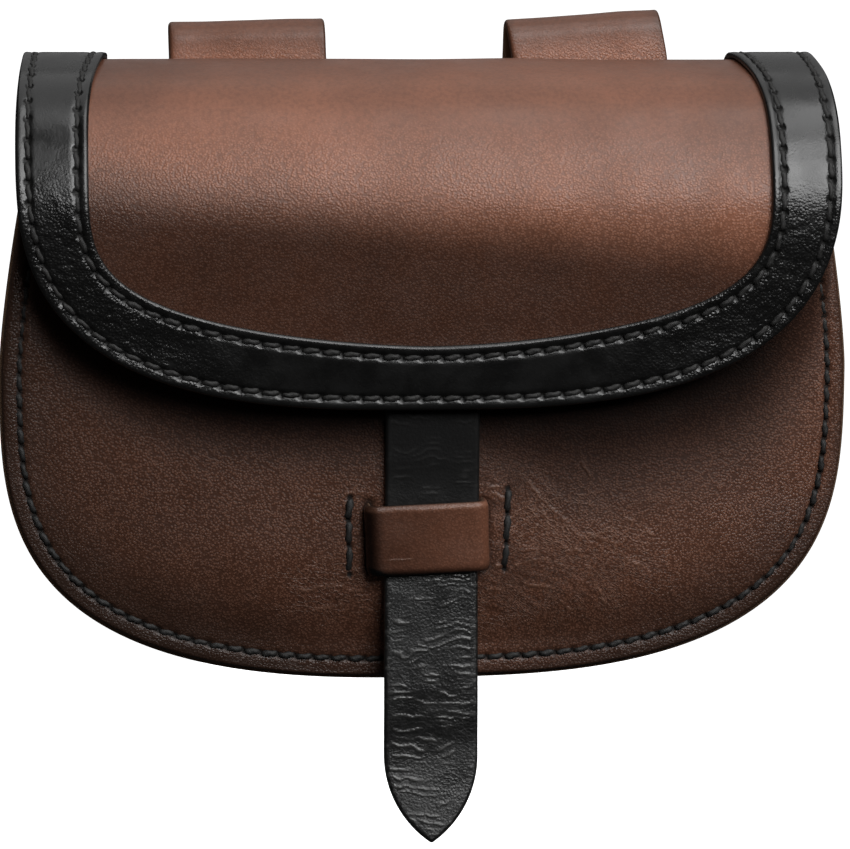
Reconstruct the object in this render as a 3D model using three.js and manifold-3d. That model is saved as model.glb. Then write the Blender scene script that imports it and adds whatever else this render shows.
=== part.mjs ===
// A leather belt bag: back panel and flap cut as one piece, a trim band round the flap, a domed
// front panel, a gusset, a closing strap held by a keeper, and two belt loops.
// Millimetres, +Z up. The origin is the middle of the belt passage, +X is to the right seen from
// the front, and the front faces -Y.

import * as THREE from 'three';
import { mergeVertices } from 'three/addons/utils/BufferGeometryUtils.js';
import Module from 'manifold-3d';

const wasm = await Module();
wasm.setup();

// Leather thicknesses, and the clearance kept between pieces
const PANEL = 2.2;
const TRIM = 1.5;
const GUSSET = 2.0;
const STRAP = 2.2;
const KEEPER = 2.0;
const LOOP = 2.4;
const GAP = 0.3;

// Belt passage and belt loops: a strap folded over the belt, both ends sewn to the back panel
const PASSAGE_DEPTH = 6;
const PASSAGE_HALF_HEIGHT = 21;
const LOOP_WIDTH = 40.3;
const LOOP_PINCH = 10;
const LOOP_TAB = 12;
const LOOP_FOLD_STEPS = 8;
const LOOP_PINCH_STEPS = 8;
const LOOP_SIDE_STEPS = 6;
const LOOP_SLIP_REACH = 13;
const LOOPS = [
  { node: 'belt_loop_left', x: -42.9, lift: 0.1, turnDeg: 1.6, slip: 0 },
  { node: 'belt_loop_right', x: 45.2, lift: 1.7, turnDeg: 4.0, slip: 1 },
];

// Cross-section of back panel and flap, walked from the foot of the back to below the lip.
// Each row turns forward about its radius; the row with a length runs straight up.
const CREST_Z = 11.9;
const REAR_RADIUS = 7.5;
const BACK_LENGTH = 152;
const FLAP_WALK = [
  { stretch: 'back', length: BACK_LENGTH, steps: 1 },
  { stretch: 'rear bend', radius: REAR_RADIUS, turnDeg: 90, steps: 8 },
  { stretch: 'crest', radius: 22, turnDeg: 20, steps: 4 },
  { stretch: 'top slope', radius: 110, turnDeg: 6, steps: 2 },
  { stretch: 'shoulder', radius: 28, turnDeg: 54, steps: 9 },
  { stretch: 'bulge', radius: 45, turnDeg: 18, steps: 4 },
  { stretch: 'skirt', radius: 1500, turnDeg: 2, steps: 2 },
];
const TRIM_FROM_STEP = 1;

// Front-view outlines. Below widestZ each is a rounded curve, `drop` deep, whose exponents are
// `across` and `down`; above it the half width eases from `wide` to `topWide` at topZ.
const BODY = {
  wide: 106.6, drop: 77.9, across: 2.7, down: 3.22,
  widestZ: -67.6, topWide: 100.6, topZ: -22, ease: 1.4,
};
const FLAP = {
  wide: 101.9, drop: 65.5, across: 2.85, down: 3.0,
  widestZ: -12, topWide: 100.2, topZ: CREST_Z, ease: 2,
};
const BARE = {
  wide: 84.1, drop: 45.7, across: 1.62, down: 4.45,
  widestZ: -16, topWide: 79.3, topZ: CREST_Z, ease: 3.3,
};
const LIP_Z = FLAP.widestZ - FLAP.drop;
const BODY_LEAN = 0.0035;
const CURVE_SAMPLES = 240;
const SIDE_SAMPLES = 24;
const BODY_STEPS = 76;
const FLAP_STEPS = 72;

// Front panel: its seam plane leans back to the foot, and a dome rises inside the sewn rim
const FRONT_TOP_Z = -24;
const SEAM_TOP_Y = -38.6;
const SEAM_FOOT_Y = -24;
const DOME = 5;
const DOME_Z = -104;
const DOME_RIM = 9;
const DOME_ACROSS = 2.8;
const DOME_POWER = 1.25;
const PANEL_INSET = 0.8;
const PANEL_TOP_STEPS = 14;
const PANEL_CENTRE_Z = -78;
const PANEL_RINGS = [0.2, 0.4, 0.6, 0.78, 0.92, 1];

// Gusset: the wall stands this far inside the edge, and its flanges reach out to the edge
const FLANGE = 8;

// Closing strap and keeper
const STRAP_WIDTH = 23.6;
const STRAP_X = 0.6;
const STRAP_TURN_DEG = -0.5;
const STRAP_TOP_Z = -60;
const STRAP_TIP_Z = -186;
const STRAP_TIP_LENGTH = 22;
const STRAP_TIP_STEPS = 8;
const STRAP_STEPS = 30;
const STRAP_LANDING_Z = -93;
const STRAP_LEAVING_Z = -117;
const STRAP_HANG_Z = -150;
const STRAP_HANG_Y = -33;
const KEEPER_X = -0.8;
const KEEPER_Z = -109.2;
const KEEPER_HEIGHT = 17.8;
const KEEPER_SPAN = 31;
const KEEPER_FOOT = 9.4;
const KEEPER_TURN_DEG = 2.4;
const KEEPER_BEND = 2.5;
const KEEPER_FOOT_BEND = 1.5;
const KEEPER_BEND_STEPS = 6;
const STRAP_CLEARANCE = 0.5;
const FOOT_CLEARANCE = 1.5;

// Colours and finish of the two leathers
const BROWN = { color: 0x5c3c2e, roughness: 0.5, metalness: 0 };
const BLACK = { color: 0x1d1c1c, roughness: 0.42, metalness: 0 };

// Prisms larger than the bag, for cutting
const BEYOND = 130;

const radians = THREE.MathUtils.degToRad;

// Bases that send an extrusion's own x, y, z across the bag, or through it from rear to front
const ACROSS = new THREE.Matrix4().makeBasis(
  new THREE.Vector3(0, 1, 0), new THREE.Vector3(0, 0, 1), new THREE.Vector3(1, 0, 0));
const THROUGH = new THREE.Matrix4().makeBasis(
  new THREE.Vector3(1, 0, 0), new THREE.Vector3(0, 0, 1), new THREE.Vector3(0, -1, 0));

function extrude(outline, depth) {
  return new THREE.ExtrudeGeometry(new THREE.Shape(outline), { depth, bevelEnabled: false });
}

// A prism across the bag, centred on X, of an outline of (y, z) points
function acrossPrism(outline, halfWidth) {
  return extrude(outline, 2 * halfWidth).applyMatrix4(ACROSS).translate(-halfWidth, 0, 0);
}

// A prism through the bag, from rearY forward to frontY, of an outline of (x, z) points
function throughPrism(outline, rearY, frontY) {
  return extrude(outline, rearY - frontY).applyMatrix4(THROUGH).translate(0, rearY, 0);
}

function solidFrom(geometry) {
  const bare = geometry.clone();
  bare.deleteAttribute('normal');
  bare.deleteAttribute('uv');
  const merged = mergeVertices(bare);
  return new wasm.Manifold(new wasm.Mesh({
    numProp: 3,
    vertProperties: new Float32Array(merged.attributes.position.array),
    triVerts: new Uint32Array(merged.index.array),
  }));
}

function geometryFrom(solid) {
  const mesh = solid.getMesh();
  const geometry = new THREE.BufferGeometry();
  geometry.setAttribute('position', new THREE.BufferAttribute(mesh.vertProperties, 3));
  geometry.setIndex(new THREE.BufferAttribute(mesh.triVerts, 1));
  geometry.computeVertexNormals();
  return geometry;
}

function geometryOf(vertices, triangles) {
  const geometry = new THREE.BufferGeometry().setFromPoints(vertices);
  geometry.setIndex(triangles.flat());
  geometry.computeVertexNormals();
  return geometry;
}

// Unit normals of an open run of points, on the left of the way it goes
function leftNormals(points) {
  return points.map((_, index) => {
    const before = points[Math.max(index - 1, 0)];
    const after = points[Math.min(index + 1, points.length - 1)];
    const along = after.clone().sub(before).normalize();
    return new THREE.Vector2(-along.y, along.x);
  });
}

function offsetRun(points, distance) {
  const normals = leftNormals(points);
  return points.map((point, index) => point.clone().addScaledVector(normals[index], distance));
}

// The closed outline of a strip of leather between two offsets to the right of its path
function strip(path, inner, outer) {
  return [...offsetRun(path, -inner), ...offsetRun(path, -outer).reverse()];
}

// The flap's mid-surface as (y, z) points; its right-hand side is the outside of the bag
function walkFlap() {
  const backY = -(PASSAGE_DEPTH / 2 + LOOP + GAP + PANEL / 2);
  const bendZ = CREST_Z - PANEL / 2 - REAR_RADIUS;
  let heading = 0;
  let here = new THREE.Vector2(backY, bendZ - BACK_LENGTH);
  const path = [here];
  for (const row of FLAP_WALK) {
    for (let step = 0; step < row.steps; step += 1) {
      if (row.length) {
        here = here.clone().add(new THREE.Vector2(0, row.length / row.steps));
      } else {
        const next = heading + radians(row.turnDeg) / row.steps;
        const turn = new THREE.Vector2(
          Math.cos(next) - Math.cos(heading), Math.sin(next) - Math.sin(heading));
        here = here.clone().addScaledVector(turn, row.radius);
        heading = next;
      }
      path.push(here);
    }
  }
  return path;
}

const flapPath = walkFlap();
const crestStep = flapPath.reduce((best, point, index) => (point.y > flapPath[best].y ? index : best), 0);
const CREST_Y = flapPath[crestStep].x;

// Depth of the flap's mid-surface at a height on its front side
function skirtY(z) {
  const skirt = flapPath.slice(crestStep);
  const below = skirt.findIndex((point) => point.y <= z);
  const upper = skirt[below - 1];
  const lower = skirt[below];
  return THREE.MathUtils.mapLinear(z, upper.y, lower.y, upper.x, lower.x);
}

// An outline's open run of (x, z) points, from its left top down round the foot to its right top
function outlineRun(row, topZ, steps) {
  const side = [];
  for (let i = 0; i < SIDE_SAMPLES; i += 1) {
    const z = THREE.MathUtils.lerp(topZ, row.widestZ, i / SIDE_SAMPLES);
    const rise = Math.min((z - row.widestZ) / (row.topZ - row.widestZ), 1);
    side.push(new THREE.Vector2(row.wide - (row.wide - row.topWide) * rise ** row.ease, z));
  }
  const foot = [];
  for (let i = 0; i <= CURVE_SAMPLES; i += 1) {
    const angle = Math.PI * (1 - i / CURVE_SAMPLES);
    const across = Math.abs(Math.cos(angle)) ** (2 / row.across);
    const down = Math.abs(Math.sin(angle)) ** (2 / row.down);
    foot.push(new THREE.Vector2(
      Math.sign(Math.cos(angle)) * row.wide * across, row.widestZ - row.drop * down));
  }
  const left = side.map((point) => new THREE.Vector2(-point.x, point.y));
  return new THREE.SplineCurve([...left, ...foot, ...side.reverse()]).getSpacedPoints(steps);
}

// The body hangs from the crest with a slight lean, its foot to the left
const leanX = (z) => BODY_LEAN * (z - CREST_Z);
const leant = (point) => new THREE.Vector2(point.x + leanX(point.y), point.y);

const bodyRun = outlineRun(BODY, FRONT_TOP_Z, BODY_STEPS).map(leant);

// Heights that stand clear above the crest, where cutting outlines end
const ABOVE_CREST_Z = CREST_Z + 2 * PANEL;

const FOOT_Z = BODY.widestZ - BODY.drop;

function seamY(z) {
  return THREE.MathUtils.mapLinear(z, FRONT_TOP_Z, FOOT_Z, SEAM_TOP_Y, SEAM_FOOT_Y);
}

// Outer face of the front panel
function frontY(x, z) {
  const reach = z < DOME_Z ? DOME_Z - FOOT_Z : FRONT_TOP_Z - DOME_Z;
  const across = Math.abs(x - leanX(z)) / (BODY.wide - DOME_RIM);
  const down = Math.abs(z - DOME_Z) / (reach - DOME_RIM);
  const rim = (across ** DOME_ACROSS + down ** DOME_ACROSS) ** (1 / DOME_ACROSS);
  return seamY(z) - DOME * Math.max(1 - rim ** 2, 0) ** DOME_POWER;
}

// Back panel and flap: the bent sheet, cut to the body's outline behind the crest and to the
// flap's outline in front of it
function backFlapGeometry() {
  const sheet = solidFrom(acrossPrism(strip(flapPath, -PANEL / 2, PANEL / 2), BEYOND));
  const back = outlineRun(BODY, ABOVE_CREST_Z, BODY_STEPS).map(leant);
  const flap = outlineRun(FLAP, ABOVE_CREST_Z, FLAP_STEPS);
  const rear = solidFrom(throughPrism(back, 0, CREST_Y));
  const front = solidFrom(throughPrism(flap, CREST_Y, -BEYOND));
  return geometryFrom(sheet.intersect(rear.add(front)));
}

// Trim band: a second strip on the flap, with the bare middle of the flap cut out of it
function flapTrimGeometry() {
  const path = flapPath.slice(TRIM_FROM_STEP);
  const near = PANEL / 2 + GAP;
  const band = solidFrom(acrossPrism(strip(path, near, near + TRIM), BEYOND));
  const flap = outlineRun(FLAP, ABOVE_CREST_Z, FLAP_STEPS);
  const bare = outlineRun(BARE, ABOVE_CREST_Z, FLAP_STEPS);
  const outer = solidFrom(throughPrism(flap, CREST_Y, -BEYOND));
  const inner = solidFrom(throughPrism(bare, CREST_Y, -BEYOND));
  const topStrip = (halfWidth) => [
    new THREE.Vector2(-halfWidth, -BEYOND),
    new THREE.Vector2(halfWidth, -BEYOND),
    new THREE.Vector2(halfWidth, BEYOND),
    new THREE.Vector2(-halfWidth, BEYOND),
  ];
  const outerRear = solidFrom(throughPrism(topStrip(FLAP.topWide), BEYOND, CREST_Y));
  const innerRear = solidFrom(throughPrism(topStrip(BARE.topWide), BEYOND, CREST_Y));
  return geometryFrom(band.intersect(outer.add(outerRear)).subtract(inner.add(innerRear)));
}

// The keeper's own frame sits on the front panel: its -Y is the panel's outward normal
function keeperFrame() {
  const step = KEEPER_HEIGHT / 2;
  const rise = frontY(KEEPER_X, KEEPER_Z + step) - frontY(KEEPER_X, KEEPER_Z - step);
  const frame = new THREE.Group();
  frame.position.set(KEEPER_X, frontY(KEEPER_X, KEEPER_Z), KEEPER_Z);
  frame.rotation.set(-Math.atan2(rise, 2 * step), radians(-KEEPER_TURN_DEG), 0);
  frame.updateMatrix();
  return frame;
}

const LEG_X = (KEEPER_SPAN - KEEPER) / 2;

// Keeper: a bar over the strap, a leg through each slit, and a foot sewn behind the panel
function keeperGeometry() {
  const barY = -(2 * STRAP_CLEARANCE + STRAP + KEEPER / 2);
  const footY = PANEL + FOOT_CLEARANCE + KEEPER / 2;
  const right = [new THREE.Vector2(0, barY)];
  for (let i = 0; i <= KEEPER_BEND_STEPS; i += 1) {
    const angle = Math.PI / 2 * (1 - i / KEEPER_BEND_STEPS);
    right.push(new THREE.Vector2(
      LEG_X - KEEPER_BEND * (1 - Math.cos(angle)), barY + KEEPER_BEND * (1 - Math.sin(angle))));
  }
  for (let i = 0; i <= KEEPER_BEND_STEPS; i += 1) {
    const angle = Math.PI / 2 * i / KEEPER_BEND_STEPS;
    right.push(new THREE.Vector2(
      LEG_X + KEEPER_FOOT_BEND * (1 - Math.cos(angle)), footY - KEEPER_FOOT_BEND * (1 - Math.sin(angle))));
  }
  right.push(new THREE.Vector2(LEG_X + KEEPER_FOOT, footY));
  const left = right.slice(1).map((point) => new THREE.Vector2(-point.x, point.y)).reverse();
  const outline = strip([...left, ...right], -KEEPER / 2, KEEPER / 2);
  return extrude(outline, KEEPER_HEIGHT).translate(0, 0, -KEEPER_HEIGHT / 2);
}

// Front panel: rings of points shrunk towards its middle, given the dome's depth, and slit twice
function frontPanelGeometry() {
  const rim = offsetRun(bodyRun, PANEL_INSET);
  const first = rim[0];
  const last = rim[rim.length - 1];
  for (let i = 1; i < PANEL_TOP_STEPS; i += 1) {
    rim.push(last.clone().lerp(first, i / PANEL_TOP_STEPS));
  }
  const centre = new THREE.Vector2(0, PANEL_CENTRE_Z);
  const rings = PANEL_RINGS.map((share) => rim.map((point) => centre.clone().lerp(point, share)));
  const flat = [centre, ...rings.flat()];
  const outer = flat.map((point) => new THREE.Vector3(point.x, frontY(point.x, point.y), point.y));
  const inner = outer.map((point) => point.clone().add(new THREE.Vector3(0, PANEL, 0)));

  const count = rim.length;
  const at = (ring, place) => 1 + ring * count + place % count;
  const face = [];
  for (let place = 0; place < count; place += 1) {
    face.push([0, at(0, place), at(0, place + 1)]);
    for (let ring = 0; ring + 1 < rings.length; ring += 1) {
      face.push([at(ring, place), at(ring + 1, place), at(ring + 1, place + 1)]);
      face.push([at(ring, place), at(ring + 1, place + 1), at(ring, place + 1)]);
    }
  }
  const behind = outer.length;
  const back = face.map(([a, b, c]) => [a + behind, c + behind, b + behind]);
  const edge = [];
  const outermost = rings.length - 1;
  for (let place = 0; place < count; place += 1) {
    const here = at(outermost, place);
    const next = at(outermost, place + 1);
    edge.push([here, here + behind, next + behind], [here, next + behind, next]);
  }
  const panel = solidFrom(geometryOf([...outer, ...inner], [...face, ...back, ...edge]));

  const frame = keeperFrame();
  const slit = () => new THREE.BoxGeometry(KEEPER + 2 * GAP, 4 * PANEL, KEEPER_HEIGHT + 2 * GAP);
  const leftSlit = solidFrom(slit().translate(-LEG_X, 0, 0).applyMatrix4(frame.matrix));
  const rightSlit = solidFrom(slit().translate(LEG_X, 0, 0).applyMatrix4(frame.matrix));
  return geometryFrom(panel.subtract(leftSlit).subtract(rightSlit));
}

// Gusset: a channel swept round the body, its wall inset and its two flanges bent out
function gussetGeometry() {
  const inward = leftNormals(bodyRun);
  const rearY = flapPath[0].x - PANEL / 2 - GAP;
  const frontFlangeY = (z) => seamY(z) + PANEL + GAP;
  const section = [
    { inset: 0, y: frontFlangeY },
    { inset: FLANGE + GUSSET, y: frontFlangeY },
    { inset: FLANGE + GUSSET, y: () => rearY },
    { inset: 0, y: () => rearY },
    { inset: 0, y: () => rearY - GUSSET },
    { inset: FLANGE, y: () => rearY - GUSSET },
    { inset: FLANGE, y: (z) => frontFlangeY(z) + GUSSET },
    { inset: 0, y: (z) => frontFlangeY(z) + GUSSET },
  ];
  const vertices = bodyRun.flatMap((point, index) => section.map((corner) => {
    const place = point.clone().addScaledVector(inward[index], corner.inset);
    return new THREE.Vector3(place.x, corner.y(place.y), place.y);
  }));

  const count = section.length;
  const sides = [];
  for (let station = 0; station + 1 < bodyRun.length; station += 1) {
    for (let corner = 0; corner < count; corner += 1) {
      const here = station * count + corner;
      const beside = station * count + (corner + 1) % count;
      sides.push([here, beside + count, beside], [here, here + count, beside + count]);
    }
  }
  const flatSection = vertices.slice(0, count).map((corner) => new THREE.Vector2(corner.x, corner.y));
  const cap = THREE.ShapeUtils.triangulateShape(flatSection, []);
  const lastStation = (bodyRun.length - 1) * count;
  const end = cap.map(([a, b, c]) => [a + lastStation, c + lastStation, b + lastStation]);
  return geometryOf(vertices, [...sides, ...cap, ...end]);
}

// Closing strap: from behind the lip, down the front panel under the keeper, to its pointed tip
function closingStrapGeometry() {
  const underFlap = (z) => new THREE.Vector2(skirtY(z) + PANEL / 2 + GAP + STRAP / 2, z);
  const onPanel = (z) => new THREE.Vector2(frontY(STRAP_X, z) - STRAP_CLEARANCE - STRAP / 2, z);
  const path = new THREE.SplineCurve([
    underFlap(STRAP_TOP_Z),
    underFlap((STRAP_TOP_Z + LIP_Z) / 2),
    underFlap(LIP_Z),
    onPanel(STRAP_LANDING_Z),
    onPanel(KEEPER_Z),
    onPanel(STRAP_LEAVING_Z),
    new THREE.Vector2(STRAP_HANG_Y, STRAP_HANG_Z),
    new THREE.Vector2(STRAP_HANG_Y, STRAP_TIP_Z),
  ]).getSpacedPoints(STRAP_STEPS);
  const half = STRAP_WIDTH / 2;
  const sheet = solidFrom(acrossPrism(strip(path, -STRAP / 2, STRAP / 2), half));

  const radius = (STRAP_TIP_LENGTH ** 2 + half ** 2) / (2 * half);
  const shoulderZ = STRAP_TIP_Z + STRAP_TIP_LENGTH;
  const sweep = Math.asin(STRAP_TIP_LENGTH / radius);
  const outline = new THREE.Shape();
  outline.moveTo(-half, 0);
  outline.lineTo(-half, shoulderZ);
  outline.absarc(radius - half, shoulderZ, radius, Math.PI, Math.PI + sweep, false);
  outline.absarc(half - radius, shoulderZ, radius, -sweep, 0, false);
  outline.lineTo(half, 0);
  const cutter = solidFrom(throughPrism(outline.getPoints(STRAP_TIP_STEPS), 0, -BEYOND));
  return geometryFrom(sheet.intersect(cutter)).translate(0, 0, -LIP_Z);
}

// Belt loop: up the back panel, over the belt, down behind it, and pinched in to the sewn tab.
// Just below the fold its front layer slips to the right of its rear layer.
function beltLoopGeometry(slip) {
  const layerY = (PASSAGE_DEPTH + LOOP) / 2;
  const foldZ = PASSAGE_HALF_HEIGHT - PASSAGE_DEPTH / 2;
  const pinchY = -layerY + LOOP + GAP;
  const pinchTopZ = -PASSAGE_HALF_HEIGHT + LOOP;
  const pinchFootZ = pinchTopZ - LOOP_PINCH;
  const footZ = pinchFootZ - LOOP_TAB;
  const path = [new THREE.Vector2(-layerY, footZ)];
  for (let i = LOOP_SIDE_STEPS; i > 0; i -= 1) {
    path.push(new THREE.Vector2(-layerY, foldZ - LOOP_SLIP_REACH * i / LOOP_SIDE_STEPS));
  }
  for (let i = 0; i <= LOOP_FOLD_STEPS; i += 1) {
    const angle = Math.PI * (1 - i / LOOP_FOLD_STEPS);
    path.push(new THREE.Vector2(layerY * Math.cos(angle), foldZ + layerY * Math.sin(angle)));
  }
  for (let i = 1; i <= LOOP_SIDE_STEPS; i += 1) {
    path.push(new THREE.Vector2(layerY, foldZ - LOOP_SLIP_REACH * i / LOOP_SIDE_STEPS));
  }
  const pinch = new THREE.CubicBezierCurve(
    new THREE.Vector2(layerY, pinchTopZ),
    new THREE.Vector2(layerY, pinchTopZ - LOOP_PINCH / 2),
    new THREE.Vector2(pinchY, pinchFootZ + LOOP_PINCH / 2),
    new THREE.Vector2(pinchY, pinchFootZ));
  path.push(...pinch.getPoints(LOOP_PINCH_STEPS), new THREE.Vector2(pinchY, footZ));
  const loop = acrossPrism(strip(path, -LOOP / 2, LOOP / 2), LOOP_WIDTH / 2);
  const corners = loop.attributes.position;
  for (let i = 0; i < corners.count; i += 1) {
    const side = THREE.MathUtils.clamp(-corners.getY(i) / layerY, -1, 1);
    const below = THREE.MathUtils.smoothstep(foldZ + layerY - corners.getZ(i), 0, LOOP_SLIP_REACH);
    corners.setX(i, corners.getX(i) + slip * side * below);
  }
  return loop;
}

function piece(name, geometry, finish) {
  const mesh = new THREE.Mesh(geometry, new THREE.MeshStandardMaterial(finish));
  mesh.name = name;
  return mesh;
}

const beltBag = new THREE.Group();
beltBag.add(piece('back_flap', backFlapGeometry(), BROWN));
beltBag.add(piece('flap_trim', flapTrimGeometry(), BLACK));
beltBag.add(piece('front_panel', frontPanelGeometry(), BROWN));
beltBag.add(piece('gusset', gussetGeometry(), BROWN));

const closingStrap = piece('closing_strap', closingStrapGeometry(), BLACK);
closingStrap.position.set(STRAP_X, 0, LIP_Z);
closingStrap.rotation.y = radians(-STRAP_TURN_DEG);
beltBag.add(closingStrap);

const keeperSeat = keeperFrame();
keeperSeat.add(piece('keeper', keeperGeometry(), BROWN));
beltBag.add(keeperSeat);

for (const { node, x, lift, turnDeg, slip } of LOOPS) {
  const loop = piece(node, beltLoopGeometry(slip), BROWN);
  loop.position.set(x, 0, lift);
  loop.rotation.y = radians(-turnDeg);
  beltBag.add(loop);
}

export default beltBag;
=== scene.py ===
"""A leather belt bag, dressed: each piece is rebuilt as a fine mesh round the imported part.

Sizes are millimetres in the part's own frame (+X right, front to -Y, +Z up) and become metres
when a mesh is made. "Flat" points lie in a piece's cutting pattern; `height` is measured along
the leather's outward normal from the middle of its thickness.
"""

import math

import bmesh
import bpy
import numpy as np
from mathutils import Matrix, Vector
from mathutils.geometry import delaunay_2d_cdt


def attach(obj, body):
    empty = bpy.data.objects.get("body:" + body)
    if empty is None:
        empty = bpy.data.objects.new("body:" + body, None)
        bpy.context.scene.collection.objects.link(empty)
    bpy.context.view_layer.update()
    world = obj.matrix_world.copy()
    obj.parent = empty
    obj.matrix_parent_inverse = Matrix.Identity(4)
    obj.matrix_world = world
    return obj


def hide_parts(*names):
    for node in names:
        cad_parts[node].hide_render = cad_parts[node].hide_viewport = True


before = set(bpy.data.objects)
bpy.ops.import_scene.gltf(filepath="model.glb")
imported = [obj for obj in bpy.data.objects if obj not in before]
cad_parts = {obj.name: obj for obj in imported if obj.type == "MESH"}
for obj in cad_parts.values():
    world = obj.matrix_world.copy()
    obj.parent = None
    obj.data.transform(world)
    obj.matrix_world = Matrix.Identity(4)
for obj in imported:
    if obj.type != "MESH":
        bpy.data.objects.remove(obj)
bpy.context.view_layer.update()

MM = 0.001

# Leather thicknesses and clearance
PANEL = 2.2
TRIM = 1.5
GUSSET = 2.0
STRAP = 2.2
KEEPER = 2.0
LOOP = 2.4
GAP = 0.3
ROUNDING = 0.9
BURNISH_REACH = 2.2
RELIEF_EDGE = 1.2

# Belt passage and loops
PASSAGE_DEPTH = 6
PASSAGE_HALF_HEIGHT = 21
LOOP_WIDTH = 40.3
LOOP_PINCH = 10
LOOP_TAB = 12
LOOP_SLIP_REACH = 13
LOOPS = [
    {"node": "belt_loop_left", "x": -42.9, "lift": 0.1, "turn": 1.6, "slip": 0.0},
    {"node": "belt_loop_right", "x": 45.2, "lift": 1.7, "turn": 4.0, "slip": 1.0},
]

# Cross-section of back panel and flap: a straight back, then bends of (radius, turn in degrees)
CREST_Z = 11.9
REAR_RADIUS = 7.5
BACK_LENGTH = 152
FLAP_BENDS = [(REAR_RADIUS, 90), (22, 20), (110, 6), (28, 54), (45, 18), (1500, 2)]
WALK_STEP = 0.1
WALK_EASE = 5.0

# The worn flap bellies out below its shoulder: heights and how far it stands out there
BELLY_Z = [-77, -60, -45, -36, -32, -28, -24, -20, -15, -11]
BELLY_OUT = [0, 0.05, 1.0, 1.8, 2.0, 1.8, 1.28, 0.7, 0.13, 0]
BELLY_EASE = 3.0

# Front-view outlines: a rounded foot below `widest`, eased sides above it
BODY = {"wide": 106.6, "drop": 77.9, "across": 2.7, "down": 3.22,
        "widest": -67.6, "top_wide": 100.6, "top": -22, "ease": 1.4}
FLAP = {"wide": 101.9, "drop": 65.5, "across": 2.85, "down": 3.0,
        "widest": -12, "top_wide": 100.2, "top": CREST_Z, "ease": 2}
BARE = {"wide": 84.1, "drop": 45.7, "across": 1.62, "down": 4.45,
        "widest": -16, "top_wide": 79.3, "top": CREST_Z, "ease": 3.3}
BODY_LEAN = 0.0035
LIP_Z = FLAP["widest"] - FLAP["drop"]
FOOT_Z = BODY["widest"] - BODY["drop"]

# Front panel and gusset
FRONT_TOP_Z = -24
SEAM_TOP_Y = -38.6
SEAM_FOOT_Y = -24
DOME = 5
DOME_Z = -104
DOME_RIM = 9
DOME_ACROSS = 2.8
DOME_POWER = 1.25
PANEL_INSET = 0.8
# Painted shadow below the flap's lip on the front panel: where it is darkest, and how far it reaches.
LIP_DARK = 3
LIP_SHADE = 21
LIP_SHADE_RIGHT = 18
FLANGE = 8
GUSSET_BEND = 3.0

# Closing strap and keeper
STRAP_WIDTH = 23.6
STRAP_X = 0.6
STRAP_TURN = -0.5
STRAP_TOP_Z = -60
STRAP_TIP_Z = -186
STRAP_TIP_LENGTH = 22
STRAP_LANDING_Z = -93
STRAP_LEAVING_Z = -117
STRAP_HANG_Z = -150
STRAP_HANG_Y = -33
STRAP_CLEARANCE = 0.5
STRAP_CURL_Z = -164
STRAP_CURL = 1.8
STRAP_CURL_BACK = 0.5
KEEPER_X = -0.8
KEEPER_Z = -109.2
KEEPER_HEIGHT = 17.8
KEEPER_SPAN = 31
KEEPER_FOOT = 9.4
KEEPER_TURN = 2.4
KEEPER_BEND = 2.5
KEEPER_FOOT_BEND = 1.5
FOOT_CLEARANCE = 1.5
KEEPER_ROUNDING = 1.8
SCRATCH_V = -4.7

# Stitching
BAND_STITCH_INSET = 3.0
BAND_PITCH = 5.0
SEAM_STITCH_INSET = 4.3
SEAM_PITCH = 4.4
LOOP_PITCH = 4.4
THREAD_RADIUS = 0.74
THREAD_STATIONS = 11
THREAD_SIDES = 8
THREAD_SPAN = (0.07, 0.86)
THREAD_FLATNESS = 0.62
THREAD_TAPER = 0.22
THREAD_DIP = 0.6
THREAD_SLANT = -0.22
PLY_DEPTH = 0.17
PLY_TURNS = 1.6
BAND_THREAD_SINK = 0.3
FRONT_THREAD_SINK = 0.25
BACK_THREAD_SINK = 0.1
KEEPER_THREAD_RISE = 0.1
KEEPER_THREAD_SLANT = 0.2
KEEPER_THREAD_THICKNESS = 1.2
STITCH_END = 4
STITCH_LINE_POINTS = 900
HOLE_RADIUS = 0.78
HOLE_DEPTH = 0.55
GROOVE_WIDTH = 0.95
GROOVE_DEPTH = 0.32

# Mesh fineness
EDGE_PITCH = 0.75
EDGE_STEPS = 6
RING_CLEARANCE = 0.7
CDT_INSIDE = 1
CDT_EPSILON = 1e-7
ON_EDGE = 1e-9
NOISE_TABLE = 64


# Noise and small numeric helpers

def value_noise(u, v, seed):
    """Smooth noise of two coordinates, from -1 to 1, with one wave about every two units."""
    table = np.random.default_rng(seed).uniform(-1, 1, (NOISE_TABLE, NOISE_TABLE))
    whole_u = np.floor(u).astype(int)
    whole_v = np.floor(v).astype(int)
    part_u = u - whole_u
    part_v = v - whole_v
    part_u = part_u * part_u * (3 - 2 * part_u)
    part_v = part_v * part_v * (3 - 2 * part_v)
    column = whole_u % NOISE_TABLE
    row = whole_v % NOISE_TABLE
    next_column = (column + 1) % NOISE_TABLE
    next_row = (row + 1) % NOISE_TABLE
    low = table[row, column] * (1 - part_u) + table[row, next_column] * part_u
    high = table[next_row, column] * (1 - part_u) + table[next_row, next_column] * part_u
    return low * (1 - part_v) + high * part_v


def ridges(u, v, width, seed):
    """Thin crests, 0 to 1, along the lines where a noise changes sign."""
    return bell(value_noise(u, v, seed), width)


def wandering_lines(x, s, spacing, width, seed):
    """Thin lines, 0 to 1, that wander across x and break, one about every `spacing` of s."""
    drift = 0.9 * value_noise(x / 7, s / 3.5, seed)
    waver = 0.22 * value_noise(x / 1.6, s / 1.6, seed + 1)
    phase = s / spacing + drift + waver
    lines = bell(phase % 1 - 0.5, width)
    return lines * smoothstep(-0.45, 0.5, value_noise(x / 4, s / 1.9, seed + 2))


def bell(value, width):
    """A soft bump, 1 at zero, that falls off over a width."""
    return np.exp(-((value / width) ** 2))


def smoothstep(low, high, value):
    t = np.clip((value - low) / (high - low), 0, 1)
    return t * t * (3 - 2 * t)


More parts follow.
